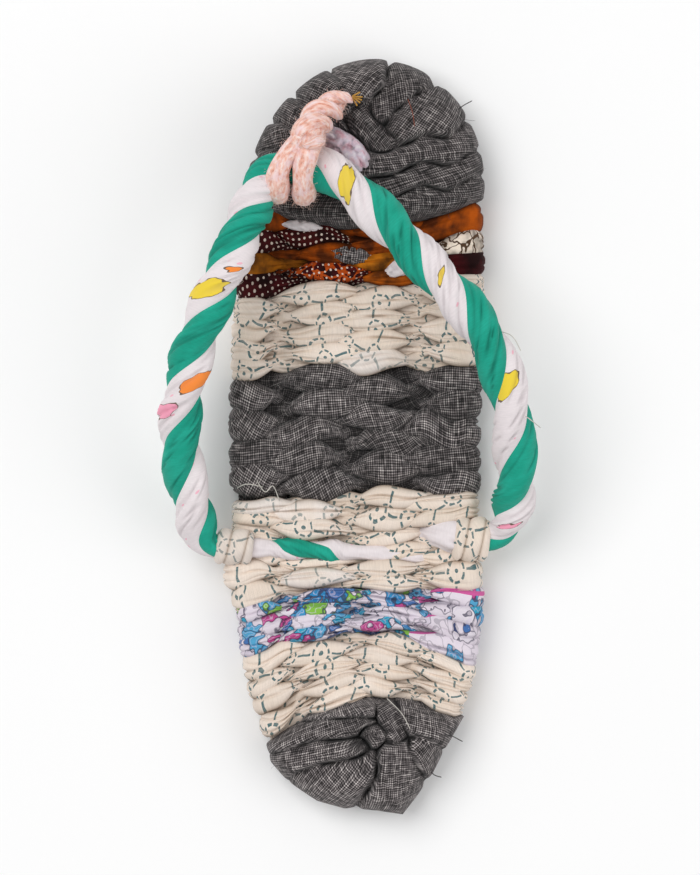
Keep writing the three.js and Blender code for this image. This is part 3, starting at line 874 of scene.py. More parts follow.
def side_edge(side, along):
    """The sole's left or right edge at a station, eased between the table's rows."""
    rows = np.array(SIDES)[::-1]
    along = np.clip(along, rows[0, 0], rows[-1, 0])
    found = np.clip(np.searchsorted(rows[:, 0], along, side="right") - 1, 0, len(rows) - 2)
    share = (along - rows[found, 0]) / (rows[found + 1, 0] - rows[found, 0])
    eased = share + 0.5 * (share * share * (3 - 2 * share) - share)
    column = {"left": 1, "right": 2}[side]
    return rows[found, column] * (1 - eased) + rows[found + 1, column] * eased


def seam_along(seam, across):
    """How far along the sole a seam lies, at a share of the way across from the left."""
    left, middle, right = SEAMS[seam]
    rest = 1 - across
    return left * rest * (1 - 2 * across) + middle * 4 * across * rest + right * across * (2 * across - 1)


def bell(distance, width):
    """One at no distance, falling smoothly to nothing."""
    return np.exp(-((distance / width) ** 2))


def strip_course(run, row, over_left):
    """A strip's way across the sole, over one warp cord and under the next, and the edge that it turns down
    at. Each station has its place, half width, height above and depth below, column, and its painted shade
    where it dips."""
    down = 0.5 + RUN_SQUEEZE * ((row + 0.5) / run.rows - 0.5)
    sign = 1 if over_left else -1
    first, last = (SIDE_TURN, 1 - SIDE_TUCK) if over_left else (SIDE_TUCK, 1 - SIDE_TURN)
    across = np.linspace(first, last, ROW_STATIONS)

    def along(share):
        """Where the row lies along the sole, at a share of the way across."""
        return seam_along(run.seam_from, share) * (1 - down) + seam_along(run.seam_to, share) * down

    crossings = np.interp(across, COLUMN_EDGES, range(WARP_CORDS + 1))
    place = np.clip(crossings + rng.uniform(-COLUMN_SLIP, COLUMN_SLIP), 0, WARP_CORDS - 0.001)
    column = place.astype(int)
    wave = sign * np.sin(np.pi * place)
    wave = np.where(place < 0.5, sign, np.where(place > WARP_CORDS - 0.5, -sign, wave))
    lens = np.abs(wave)
    wave = np.clip(wave + CROWN_REACH, -1, 1)
    over = np.sign(wave) * np.abs(wave) ** CROWN_BLUNTNESS
    crest = np.abs(over)
    left = side_edge("left", along(np.array(0.0)))
    right = side_edge("right", along(np.array(1.0)))
    pitch = np.abs(seam_along(run.seam_from, across) - seam_along(run.seam_to, across)) / run.rows

    # Each crown has its own size, height, place and slant
    size = rng.uniform(*CROWN_SIZES, WARP_CORDS)[column]
    rise = rng.uniform(*CROWN_RISES, WARP_CORDS)[column]
    slip = rng.uniform(-COLUMN_SLIP, COLUMN_SLIP, WARP_CORDS)[column]
    slant = rng.normal(0, CROWN_SLANT, WARP_CORDS)[column]
    z = SOLE_THICKNESS - run.height + UNDER_DROP * (over - 1) / 2 + rise * np.clip(over, 0, 1)
    if run.node == "strap_tails":
        z = z - TAIL_BED
    course = {
        "x": left * (1 - across) + right * across,
        "y": along(across) + pitch * crest * (slip + slant * np.sin(2 * np.pi * place)),
        "z": z,
        "half_width": np.maximum(pitch, NARROWEST_PITCH) * (DIP_WIDTH + CROWN_WIDTH * lens * size),
        "above": run.height * (UNDER_HEIGHT + (1 - UNDER_HEIGHT) * crest),
        "below": z - BELLY_GAP - BELLY_LIFT * (over + 1) / 2,
        "column": column,
        "dip_shading": np.clip(UNDER_SHADE_START - over, 0, 1),
    }
    return course, left if over_left else right


def turned_down(course, edge, over_left):
    """Adds the end of a strip that turns down round the side, from its crown to the underside."""
    turn = np.linspace(*TURN_SHARES, TURN_STATIONS) * np.pi
    near, outward = (0, -1) if over_left else (-1, 1)
    x, z, above = (course[name][near] for name in ("x", "z", "above"))
    reach = max(outward * (edge - x) - above, TURN_LEAST)
    drop = (z - above - TURN_GAP) / 2
    ends = {name: np.full(TURN_STATIONS, values[near]) for name, values in course.items()}
    ends["x"] = x + outward * reach * np.sin(turn)
    ends["z"] = z - drop + drop * np.cos(turn)
    joined = {}
    for name, values in course.items():
        joined[name] = np.concatenate([ends[name][::-1], values] if over_left else [values, ends[name]])
    for end in (slice(TURN_STATIONS), slice(-TURN_STATIONS, None)):
        joined["below"][end] = np.minimum(joined["below"][end], SIDE_BELLY)
    return joined


def crown_section(run, across, travelled, at_side):
    """A strip's upper face at each station, as shares of its height, less creases that wander and come and
    go along it. Also the painted shade of each point, darker the deeper it lies in a crease."""
    side_flatness = 0.8  # how much flatter it is at the turned end
    widths = (0.06, 0.13)  # of a crease, where the edges are at minus one and one
    outermost = 0.65
    wander = 0.16
    wander_lengths = (7, 16)  # of strip for each radian
    fade_lengths = (5, 12)
    side_fade = 0.15  # how much shallower the creases are at the turned end
    uncreased = 0.75  # share of the height below which the painted crease shade starts
    flatness = run.flatness + side_flatness * at_side
    swell = (1 - np.abs(across)[None, :] ** flatness[:, None]) ** 0.9
    creases = [(rng.uniform(-outermost, outermost), rng.uniform(*widths)) for _ in range(CREASES)]
    for middle, width in creases:
        place = middle + wander * np.sin(travelled / rng.uniform(*wander_lengths) + rng.uniform(0, 6))
        strength = 0.45 + 0.8 * np.sin(travelled / rng.uniform(*fade_lengths) + rng.uniform(0, 6))
        strength = np.clip(strength, 0, 1) * (1 - side_fade * at_side)
        swell -= run.crease_depth * strength[:, None] * bell(across[None, :] - place[:, None], width)
    full = uncreased + (1 - uncreased) * at_side
    return swell, CREASE_SHADE * (1 - np.clip(swell / full[:, None], 0, 1)) ** 1.6


def crown_marks(node, row):
    """The tone, share of print and shade of each of a strip's crowns."""
    marks = np.zeros((WARP_CORDS, 4))
    marks[:, 0] = rng.uniform(*CROWN_TONES, WARP_CORDS)
    marks[:, 1] = [BACK_PRINT if (node, row, column) in BACK_CROWNS else 1 for column in range(WARP_CORDS)]
    if node == "weft_print":
        marks[:, 1] = PRINT_SHARES + rng.uniform(-PRINT_SPREAD, PRINT_SPREAD, WARP_CORDS)
    if node == "weft_brown":
        marks[:, 2] = np.repeat([SHADE_PLACES[shade] for shade in BROWN_CROWNS[row]], 2)
    return marks


def weave_strip(cloth, run, row, row_number):
    """One strip of cloth across the sole: a creased crown above and a deeper belly below."""
    over_left = row_number % 2 == 0
    course, edge = strip_course(run, row, over_left)
    x, y, z, half_width, above, below, column, dip_shading = turned_down(course, edge, over_left).values()
    tangent = np.stack([np.gradient(x), np.gradient(z)], axis=1)
    tangent /= np.linalg.norm(tangent, axis=1)[:, None]
    crown_line = np.stack([x - tangent[:, 1] * above, z + tangent[:, 0] * above], axis=1)
    travelled = travelled_along(crown_line)
    from_turn = travelled if over_left else travelled[-1] - travelled
    at_side = np.clip((SIDE_REACH - from_turn) / SIDE_FADE, 0, 1)
    half_width = half_width * (1 + SIDE_SWELL * at_side)

    # The section, with a wobble in its width
    upper = np.linspace(1, -1, CROWN_POINTS)
    lower = np.linspace(-1, 1, UNDER_POINTS + 2)[1:-1]
    swell, crease = crown_section(run, upper, travelled, at_side)
    # Painted shade: darker in the crown's creases and where the strip dips under a cord
    depth = np.zeros((len(x), CROWN_POINTS + UNDER_POINTS))
    depth[:, :CROWN_POINTS] = crease
    depth = np.maximum(depth, run.dip_tone * dip_shading[:, None])
    wobble = 1 + WOBBLE * np.sin(travelled / WOBBLE_LENGTH + rng.uniform(0, 6))
    aside = (half_width * wobble)[:, None] * np.concatenate([upper, lower])[None, :]
    belly = -(1 - np.abs(lower) ** BELLY_FLATNESS)[None, :] * below[:, None]
    out = np.concatenate([above[:, None] * swell, belly], axis=1)
    heights = np.maximum(z[:, None] + tangent[:, :1] * out, FLOOR_GAP)
    points = np.stack([x[:, None] - tangent[:, 1:] * out, y[:, None] + aside, heights], axis=-1)

    # Its place on the flat cloth, turned and shifted for each crown
    width = 2 * half_width.mean()
    around = np.linspace(0, 2 * width, points.shape[1] + 1)
    around[:CROWN_POINTS] = width * (1 - upper) / 2
    flat = np.stack(np.broadcast_arrays(travelled[:, None], -around[None, :]), axis=-1)
    faces = (len(x) - 1, points.shape[1])
    face_column = column[:-1]
    turns = rng.normal(0, CLOTH_TURN, WARP_CORDS)[face_column]
    shifts = rng.uniform(0, CLOTH_SHIFT, (WARP_CORDS, 2))[face_column]
    marks = crown_marks(run.node, row)[face_column]
    turns = np.broadcast_to(turns[:, None], faces)
    shifts = np.broadcast_to(shifts[:, None, :], faces + (2,))
    cloth.add_sheet(points, flat, turns, shifts, np.broadcast_to(marks[:, None, :], faces + (4,)), depth)


def point_to_ridge(x, y, fold):
    """How far points lie from a fold's ridge, in its half widths."""
    x0, y0, x1, y1, half_width = fold[:5]
    run_x, run_y = x1 - x0, y1 - y0
    share = np.clip(((x - x0) * run_x + (y - y0) * run_y) / (run_x**2 + run_y**2), 0, 1)
    return np.hypot(x - x0 - share * run_x, y - y0 - share * run_y) / half_width


def gathered_cloth(hub, rim, thickness, folds, tone, notch, hollow, seed):
    """A gathered end of the sole: pleats of cloth that lap over each other, turned under at the rim. Higher
    folds are painted lighter than the tone given and sunken ones darker, as painted light and shade. Creases
    notch the rim, and the hub is sunk by the hollow. Both creases and hollow get painted shade."""
    cloth = ClothMesh()
    chance = np.random.default_rng(seed)
    rim = np.array(rim)
    hub = np.array(hub, dtype=float)
    edge_radius = 7.5
    crease_width = 0.25
    crease_depth = 2.2
    # Painted shade: how dark the deepest creases are
    crease_shade_strength = 0.95
    pleat_tilt = 1.5
    hollow_radius = 5
    notch_width = 0.45  # in half widths of a fold
    sway = 0.9  # how far the folds' edges wander
    seat = 1.3  # how far the cloth's folds start below the full thickness
    ridge = 0.9  # how far the middle of a fold stands up
    ripple_depth = 0.2
    fade_width = 0.5  # over which a fold's lift grows from its edge, in half widths
    hollow_shade = 0.25  # painted shade for each millimetre of the hollow, as in the creases
    lift_shading = 0.4  # painted light and shade: how much lighter a fold is painted for each millimetre of lift
    shares = np.concatenate([np.linspace(0.015, 0.78, 70), np.linspace(0.79, 1, 24)])
    # Rings below the rim: share of the way out, share of the thickness
    under = [(1.0, 0.42), (0.99, 0.2), (0.97, 0.08), (0.93, 0.015), (0.5, 0.012), (0.05, 0.012)]
    lift = np.array([fold[5] for fold in folds])
    depth = chance.uniform(0.55, 1, len(folds)) * crease_depth
    ripples = chance.uniform((4, -0.25, 0), (11, 0.25, 6), (4, len(folds), 3))  # across, along, start
    waves = chance.uniform((0.12, 0), (0.42, 6), (6, 2))  # rate, start
    table = np.array([fold[:5] for fold in folds])
    run = table[:, 2:4] - table[:, :2]
    run /= np.linalg.norm(run, axis=1)[:, None]

    def nearest(x, y):
        """The fold at a point, the distance from its ridge, and how far the next fold is behind it."""
        sway_x = sum(sway * np.sin(rate * y + start) for rate, start in waves[:3])
        sway_y = sum(sway * np.sin(rate * x + start) for rate, start in waves[3:])
        distances = np.stack([point_to_ridge(x + sway_x, y + sway_y, fold) for fold in folds])
        order = np.argsort(distances, axis=0)
        first = np.take_along_axis(distances, order[:1], axis=0)[0]
        second = np.take_along_axis(distances, order[1:2], axis=0)[0]
        return order[0], first, second - first

    span = rim - hub
    length = np.linalg.norm(span, axis=1)
    rim_fold, _, rim_gap = nearest(rim[:, 0], rim[:, 1])
    notches = chance.uniform(0, notch, len(folds))
    drawn_in = notches[rim_fold] * bell(rim_gap, notch_width) / length
    rings = []
    painted_shades = []
    for share in shares:
        outward = share * (1 - drawn_in * share**6)
        x = hub[0] + span[:, 0] * outward
        y = hub[1] + span[:, 1] * outward
        fold, first, gap = nearest(x, y)
        from_start = np.stack([x, y], axis=1) - table[fold, :2]
        along = (from_start * run[fold]).sum(axis=1)
        side = (run[fold, 0] * from_start[:, 1] - run[fold, 1] * from_start[:, 0]) / table[fold, 4]
        from_edge = np.clip((1 - share) * length, 0, edge_radius)
        edge_drop = edge_radius - np.sqrt(edge_radius**2 - (edge_radius - from_edge) ** 2)
        fade = np.clip(gap / fade_width, 0, 1)
        uneven = np.clip(1.5 - 1.1 * share + 0.5 * np.sin(0.5 * x + 0.7 * y), 0.1, 1.5)
        sharp = depth[fold] * bell(gap, crease_width) * uneven
        z = thickness - seat - edge_drop + ridge * (1 - np.clip(first, 0, 1.6) ** 2) + lift[fold] * fade
        sunk = bell(share * length, hollow_radius)
        z = z - pleat_tilt * np.clip(side, -1.2, 1.2) * fade - sharp - hollow * sunk
        for across_rate, along_rate, start in ripples.transpose(0, 2, 1):
            ripple = np.sin(side * across_rate[fold] + along * along_rate[fold] + start[fold])
            z = z - ripple_depth * np.clip(ripple, 0, 1) ** 3 * fade
        rings.append(np.stack([x, y, z], axis=1))
        # Painted shade in the creases and in the sunk hub
        painted_shades.append(np.clip(crease_shade_strength * sharp / crease_depth + hollow_shade * hollow * sunk, 0, 1))
    top = len(rings)
    for outward, height in under:
        ring = rings[top - 1].copy()
        ring[:, :2] = hub + (ring[:, :2] - hub) * outward
        ring[:, 2] = thickness * height
        rings.append(ring)
        painted_shades.append(np.zeros(len(rim)))
    points = np.stack(rings)[:, ::-1]
    middle = (points[:-1] + points[1:]) / 2
    fold, _, _ = nearest(middle[..., 0], middle[..., 1])
    wrapped = np.concatenate([points, points[:, :1]], axis=1)
    outward = wrapped[..., :2] - hub
    outward = outward / np.maximum(np.linalg.norm(outward, axis=-1), 1e-6)[..., None]
    flat = wrapped[..., :2] + outward * (thickness - wrapped[..., 2:])
    turn = -np.array([math.atan2(f[3] - f[1], f[2] - f[0]) + math.radians(f[6]) for f in folds])
    shift = chance.uniform(0, 60, (len(folds), 2))
    marks = np.zeros(fold.shape + (4,))
    # Painted light and shade: raised folds are lighter, sunken folds darker
    marks[..., 0] = np.clip(tone + lift_shading * lift, 0, 1)[fold]
    cloth.add_sheet(points, flat, turn[fold], shift[fold], marks, np.stack(painted_shades)[:, ::-1])
    return cloth


def resampled(points, count):
    """Points spaced evenly along a closed outline."""
    points = np.array(points + points[:1], dtype=float)
    travelled = travelled_along(points)
    steps = np.linspace(0, travelled[-1], count, endpoint=False)
    return np.stack([np.interp(steps, travelled, points[:, i]) for i in range(2)], axis=1)


def seam_points(seam, lap):
    """Points along a seam, from the left side to the right, moved forwards a little."""
    across = np.linspace(0, 1, 24)
    y = seam_along(seam, across) + lap
    left = side_edge("left", y[0])
    right = side_edge("right", y[-1])
    return [(float(left + (right - left) * a), float(b)) for a, b in zip(across, y)]


def toe_rim():
    """The toe's outline, anticlockwise: along the seam, then round a half oval that leans to the right."""
    middle = (2.7, 79.2)
    half_width = 39.9
    half_length = 46.2
    lean = 2.4  # how far the tip lies to the right of the middle
    tilt = 0.9  # how much further forward the right side starts
    oval = []
    steps = 60
    for step in range(1, steps):
        angle = math.pi * step / steps
        x = middle[0] + lean * math.sin(angle) + half_width * math.cos(angle)
        y = middle[1] + tilt * math.cos(angle) + half_length * math.sin(angle)
        oval.append((x, y))
    return resampled(seam_points("toe_brown", -SEAM_LAP) + oval, 260)


def heel_rim():
    """The heel's outline, anticlockwise: back along the seam, then round its corners."""
    return resampled(seam_points("cream_heel", SEAM_LAP)[::-1] + HEEL_RIM, 220)


def node_group(name, sockets):
    """An empty geometry tree with a geometry socket each way, and its inputs, from their names by type."""
    tree = bpy.data.node_groups.new(name, "GeometryNodeTree")
    tree.interface.new_socket("Geometry", in_out="OUTPUT", socket_type="NodeSocketGeometry")
    for kind, names in {"Geometry": ["Geometry"], **sockets, "Material": ["Material"]}.items():
        for socket in names:
            tree.interface.new_socket(socket, in_out="INPUT", socket_type="NodeSocket" + kind)
    return tree, add(tree, "NodeGroupInput").outputs


def finish_group(tree, geometry, material):
    """Ends a geometry tree in real faces of a material."""
    real = add(tree, "GeometryNodeRealizeInstances", [geometry])
    dyed = add(tree, "GeometryNodeSetMaterial", {"Geometry": real, "Material": material})
    add(tree, "NodeGroupOutput", [dyed])
    return tree


def ply_tree():
    """Geometry nodes for one ply of a twisted rope. A sheet of points is rolled round a route: each point
    finds its place along the route, turns with the rope, and stands off by the ply's radius, less creases."""
    sockets = {
        "Float": ["Ply Radius", "Ply Offset", "Crease Depth", "Crease Rate", "Seed"],
        "Int": ["Steps Along", "Steps Round"],
        "Vector": ["Upward"],
    }
    crease_width = 0.05  # a crease is where the noise is this near to its middle value
    unevenness = 0.25  # of the radius
    closing = 0.015  # share of the length over which an end closes
    tree, sizes = node_group("twisted_ply", sockets)
    route = add(tree, "GeometryNodeMeshToCurve", [sizes["Geometry"]])
    sheet = add(tree, "GeometryNodeMeshGrid", [1, 1, sizes["Steps Along"], sizes["Steps Round"]])
    across_sheet, round_sheet, _ = add(tree, "SeparateXYZ", [add(tree, "GeometryNodeInputPosition")]).outputs
    share = add(tree, "Math ADD", [across_sheet, 0.5])
    angle = add(tree, "Math MULTIPLY", [round_sheet, math.tau])
    travelled = add(tree, "Math MULTIPLY", [share, add(tree, "GeometryNodeCurveLength", [route])])
    samples = {}
    for name in ("girth", "turn"):
        stored = add(tree, "GeometryNodeInputNamedAttribute FLOAT", {"Name": name})
        sampled = {"Curves": route, "Value": stored, "Factor": share}
        sample = add(tree, "GeometryNodeSampleCurve FLOAT", sampled, mode="FACTOR")
        samples[name] = sample.outputs
    girth, tangent = samples["girth"]["Value"], samples["girth"]["Tangent"]
    across = add(tree, "VectorMath CROSS_PRODUCT", [tangent, sizes["Upward"]])
    side = add(tree, "VectorMath NORMALIZE", [across])
    top = add(tree, "VectorMath CROSS_PRODUCT", [side, tangent])

    def turned(first, second, around):
        """The first direction, turned towards the second by an angle."""
        along_first = add(tree, "VectorMath SCALE", [first, add(tree, "Math COSINE", [around])])
        along_second = add(tree, "VectorMath SCALE", [second, add(tree, "Math SINE", [around])])
        return add(tree, "VectorMath ADD", [along_first, along_second])

    out = turned(top, side, samples["turn"]["Value"])
    aside = add(tree, "VectorMath CROSS_PRODUCT", [tangent, out])
    round_out = turned(out, aside, angle)

    # Creases run along the ply where slow noise crosses its middle value, and fade towards the other ply
    ring = turned((1, 0, 0), (0, 1, 0), angle)
    slow = add(tree, "Math MULTIPLY", [travelled, sizes["Crease Rate"]])
    spot = add(tree, "VectorMath ADD", [ring, add(tree, "CombineXYZ", [0, 0, slow])])
    placed = {"Vector": spot, "W": sizes["Seed"], "Scale": 1, "Detail": 1}
    noise = add(tree, "TexNoise", placed, noise_dimensions="4D")
    centred = add(tree, "Math SUBTRACT", [noise, 0.5])
    away = add(tree, "Math ABSOLUTE", [centred])
    trough = add(tree, "MapRange", [away, 0, crease_width, 1, 0], interpolation_type="SMOOTHSTEP")
    swell = add(tree, "Math MULTIPLY_ADD", [centred, unevenness, 1])
    facing = add(tree, "Math COSINE", [angle])
    outer = add(tree, "MapRange", [facing, -0.2, 0.35], interpolation_type="SMOOTHSTEP")
    fold = add(tree, "Math MULTIPLY", [trough, outer])
    dent = add(tree, "Math MULTIPLY", [fold, sizes["Crease Depth"]])
    full = add(tree, "Math SUBTRACT", [swell, dent])

    # The ply closes to a point at its ends
    to_end = add(tree, "Math ABSOLUTE", [add(tree, "Math SUBTRACT", [share, 0.5])])
    open_share = add(tree, "MapRange", [to_end, 0.5, 0.5 - closing], interpolation_type="SMOOTHERSTEP")
    radius = sizes["Ply Radius"]
    for share_left in (girth, full, open_share):
        radius = add(tree, "Math MULTIPLY", [radius, share_left])
    offset = add(tree, "Math MULTIPLY", [sizes["Ply Offset"], girth])
    core = add(tree, "VectorMath SCALE", [out, offset])
    skin = add(tree, "VectorMath SCALE", [round_out, radius])
    from_route = add(tree, "VectorMath ADD", [core, skin])
    position = add(tree, "VectorMath ADD", [samples["girth"]["Position"], from_route])

    # The place on the flat cloth, in millimetres
    rolled_out = add(tree, "Math MULTIPLY", [angle, sizes["Ply Radius"]])
    metres = add(tree, "CombineXYZ", [travelled, rolled_out, 0])
    flat = add(tree, "VectorMath SCALE", [metres, 1 / MM])
    stored = sheet
    for name, value, data_type, domain in ((FLAT, flat, "FLOAT2", "CORNER"), (FOLD, fold, "FLOAT", "POINT")):
        named = {"Geometry": stored, "Name": name, "Value": value}
        stored = add(tree, "GeometryNodeStoreNamedAttribute", named, data_type=data_type, domain=domain)
    rolled = add(tree, "GeometryNodeSetPosition", {"Geometry": stored, "Position": position})
    closed = add(tree, "GeometryNodeMergeByDistance", {"Geometry": rolled, "Distance": 1e-6})
    outward = add(tree, "GeometryNodeFlipFaces", [closed])
    return finish_group(tree, add(tree, "GeometryNodeSetShadeSmooth", [outward]), sizes["Material"])


def fuzz_tree():
    """Geometry nodes for loose fibres: thin bent hairs scattered over a surface, at random angles."""
    sockets = {"Float": ["Density", "Length", "Thickness", "Spread", "Lowest"], "Int": ["Seed"]}
    tree, sizes = node_group("loose_fibres", sockets)
    height = add(tree, "SeparateXYZ", [add(tree, "GeometryNodeInputPosition")]).outputs[2]
    high = add(tree, "Math GREATER_THAN", [height, sizes["Lowest"]])
    seeds = {"Seed": sizes["Seed"]}
    scattered = {"Mesh": sizes["Geometry"], "Selection": high, "Density": sizes["Density"], **seeds}
    scatter = add(tree, "GeometryNodeDistributePointsOnFaces", scattered)
    bent = {"Resolution": 4, "Start": (0, 0, 0), "Middle": (0, 0, 0.6), "End": (0.5, 0, 1)}
    bend = add(tree, "GeometryNodeCurveQuadraticBezier", bent)
    thin = add(tree, "Math DIVIDE", [sizes["Thickness"], sizes["Length"]])
    profile = add(tree, "GeometryNodeCurvePrimitiveCircle", {"Resolution": 3, "Radius": thin})
    hair = add(tree, "GeometryNodeCurveToMesh", {"Curve": bend, "Profile Curve": profile, "Fill Caps": True})
    random_lean = {"Min": (-1, -1, -1), "Max": (1, 1, 1), **seeds}
    lean = add(tree, "FunctionNodeRandomValue FLOAT_VECTOR", random_lean)
    leaned = add(tree, "VectorMath SCALE", [lean, sizes["Spread"]])
    upward = add(tree, "VectorMath ADD", [scatter.outputs["Normal"], leaned])
    turn = add(tree, "FunctionNodeAlignRotationToVector", {"Vector": upward}, axis="Z")
    share = add(tree, "FunctionNodeRandomValue FLOAT", {2: 0.4, 3: 1.0, **seeds})
    scale = add(tree, "Math MULTIPLY", [share, sizes["Length"]])
    placing = {"Points": scatter, "Instance": hair, "Rotation": turn, "Scale": scale}
    return finish_group(tree, add(tree, "GeometryNodeInstanceOnPoints", placing), sizes["Material"])


def grown(name, source, tree, **values):
    """A plain mesh piece made by a node tree from a source mesh."""
    holder = placed(name + "_source", source)
    modifier = holder.modifiers.new("shape", "NODES")
    modifier.node_group = tree
    sockets = {s.name: s.identifier for s in tree.interface.items_tree if s.in_out == "INPUT"}
    for socket, value in values.items():
        modifier[sockets[socket.replace("_", " ")]] = value
    graph = bpy.context.evaluated_depsgraph_get()
    shaped = holder.evaluated_get(graph)
    mesh = bpy.data.meshes.new_from_object(shaped, preserve_all_data_layers=True, depsgraph=graph)
    bpy.data.objects.remove(holder)
    mesh.name = name
    marks = mesh.color_attributes.new(MARK, "FLOAT_COLOR", "CORNER")
    marks.data.foreach_set("color", ROPE_MARKS * len(mesh.loops))
    return placed(name, mesh)


def route_mesh(name, points, girth, turn):
    """A chain of edges along a route, with the rope's share of full girth and its turn at each point."""
    mesh = bpy.data.meshes.new(name)
    mesh.from_pydata((points * MM).tolist(), [(i, i + 1) for i in range(len(points) - 1)], [])
    for attribute, values in (("girth", girth), ("turn", turn)):
        filled = np.broadcast_to(values, len(points)).astype(np.float32)
        mesh.attributes.new(attribute, "FLOAT", "POINT").data.foreach_set("value", filled)
    return mesh


PLY = ply_tree()
FUZZ = fuzz_tree()


def rope_ply(
    name, points, cloth, radius, offset=0, turn=0, girth=1, seed=1,
    creases=0.16, crease_rate=34, upward=(0, 0, 1),
):
    """One ply of a rope along a route, as a plain mesh. Creases are shares of its radius, so many a metre."""
    return grown(
        name,
        route_mesh(name, points, girth, turn),
        PLY,
        Ply_Radius=radius * MM,
        Ply_Offset=offset * MM,
        Crease_Depth=creases,
        Crease_Rate=float(crease_rate),
        Seed=float(seed),
        Steps_Along=max(int(travelled_along(points)[-1] / STEP_ALONG), 24),
        Steps_Round=max(int(radius * STEPS_PER_RADIUS), 8),
        Upward=upward,
        Material=CLOTHS[cloth],
    )


# The woven runs of the sole
row_number = 0
for run in RUNS:
    cloth = ClothMesh()
    for row in range(run.rows):
        weave_strip(cloth, run, row, row_number)
        row_number += 1
    dress(cloth.piece(run.node + "_rows", CLOTHS[run.cloth]), run.cloth, run.node)

# The gathered toe and heel
toe_sizes = {"notch": 2.4, "hollow": 0, "seed": 11}
toe_cloth = gathered_cloth(TOE_HUB, toe_rim(), TOE_THICKNESS, TOE_FOLDS, TOE_TONE, **toe_sizes)
toe = toe_cloth.piece("toe_gathers", CLOTHS["grey_cloth"])
dress(toe, "grey_cloth", "toe_grey")
heel_sizes = {"notch": 1, "hollow": 3, "seed": 32}
heel_cloth = gathered_cloth(HEEL_HUB, heel_rim(), HEEL_THICKNESS, HEEL_FOLDS, HEEL_TONE, **heel_sizes)
heel = heel_cloth.piece("heel_gathers", CLOTHS["grey_cloth"])
dress(heel, "grey_cloth", "heel_grey")

# The strap: a green ply and a white ply laid together, thinner where they enter the loops
PLIES = [
    # name, cloth, turn from the green ply
    ("green_ply", "green_cotton", 0),
    ("white_ply", "white_cotton", math.pi),
]
for name, cloth_name, half_turn in PLIES:
    looks = {"turn": strap_turn + half_turn, "girth": strap_girth, "seed": len(name), "creases": 0.18}
    ply = rope_ply("strap_" + name, strap_line, cloth_name, STRAP_PLY_RADIUS, STRAP_PLY_OFFSET, **looks)
    dress(ply, "green_cotton", "strap")

# The strap's ends, across the sole
for tail_name, ply_radius, green_turns, route in TAIL_ROUTES:
    line = smooth_route(route, 90)
    travelled = travelled_along(line)
    turns = math.tau * np.interp(travelled, *zip(*green_turns))
    lumps = 1 + TAIL_LUMPS * np.sin(travelled / TAIL_LUMP_LENGTH)
    taper = np.interp(travelled / travelled[-1], (TAIL_TAPER_START, 1), (1, TAIL_TIP_SHARE))
    for name, cloth_name, half_turn in PLIES:
        looks = {"turn": turns + half_turn, "girth": lumps * taper, "seed": len(tail_name) + len(name)}
        ply = rope_ply(f"{tail_name}_{name}", line, cloth_name, ply_radius, TAIL_PLY_OFFSET, **looks)
        dress(ply, "green_cotton")

# The cloth loops: a strip wound slantwise round each end of the strap
for node, centre, radius_along, radius_up, length, tone, print_share in LOOPS:
    share = np.linspace(0, 1, LOOP_STATIONS)[:, None]
    full_round = np.linspace(0, math.tau, LOOP_POINTS + 1)[None, :]
    angle = full_round[:, :-1]
    winding = (share * LOOP_WINDINGS + angle / math.tau) % 1
    crown = np.sin(math.pi * winding)
    lapped = 1 - LOOP_GROOVE + LOOP_GROOVE * crown**0.6 + LOOP_LUMPS * np.sin(5 * angle + 8 * share)
    ends = np.clip(np.minimum(share, 1 - share) / LOOP_CLOSING, 0, 1) ** 0.5
    reach = lapped * (LOOP_END_SHARE + (1 - LOOP_END_SHARE) * ends)
    along = centre[0] + (share - 0.5) * length + LOOP_SLANT * np.sin(angle + 1)
    across = centre[1] + radius_along * reach * np.cos(angle)
    points = np.stack([along, across, centre[2] + radius_up * reach * np.sin(angle)], axis=-1)
    flat = np.stack(np.broadcast_arrays(share * length, full_round * radius_up), axis=-1)
    faces = (LOOP_STATIONS - 1, LOOP_POINTS)
    marks = np.broadcast_to(np.array([tone, print_share, 0, 0]), faces + (4,))
    turns = np.full(faces, LOOP_CLOTH_TURN)
    shifts = np.full(faces + (2,), LOOP_CLOTH_SHIFT)
    # Painted shade in the grooves between the windings
    depth = CREASE_SHADE * (1 - crown) ** 6
    cloth = ClothMesh()
    cloth.add_sheet(points, flat, turns, shifts, marks, depth)
    dress(cloth.piece(node + "_wrap", CLOTHS["cream_print"]), "cream_print", node)

# The toe tie: two turns round the strap, a twisted tail, and a leg down into the toe
tie_parts = []
for name, centre, slant, bow in TIE_TURNS:
    angle = np.linspace(*TIE_TURN_ANGLES, 90)
    toward_toe = TIE_TURN_RADIUS * np.cos(angle)
    aside = slant * toward_toe + bow * np.sin(angle) ** 2
    ring = np.array(centre) + np.stack([aside, toward_toe, TIE_TURN_RADIUS * np.sin(angle)], axis=1)
    seed = len(tie_parts)
    lumps = 1 + TIE_LUMPS * np.sin(3.2 * angle + 4 * seed)
    looks = {"girth": lumps, "seed": seed, "creases": 0.12, "upward": (1, 0, 0)}
    tie_parts.append(rope_ply(name, ring, "pink_cord", TIE_CORD_RADIUS, **looks))
tail_line = smooth_route(TIE_TAIL_ROUTE, 80)
tail_travelled = travelled_along(tail_line)
tail_turn = math.tau * tail_travelled / TIE_TAIL_LAY
tail_girth = np.interp(tail_travelled / tail_travelled[-1], (TIE_TAPER_START, 1), (1, TIE_TIP_SHARE))
for name, half_turn in (("toe_tie_tail_first", 0), ("toe_tie_tail_second", math.pi)):
    turn = tail_turn + half_turn
    looks = {"girth": tail_girth * (1 + 0.1 * np.cos(turn)), "seed": 5 + half_turn, "creases": 0.1}
    tie_parts.append(rope_ply(name, tail_line, "pink_cord", TIE_TAIL_RADIUS, TIE_TAIL_OFFSET, turn, **looks))
leg_line = smooth_route(TIE_LEG, 30)
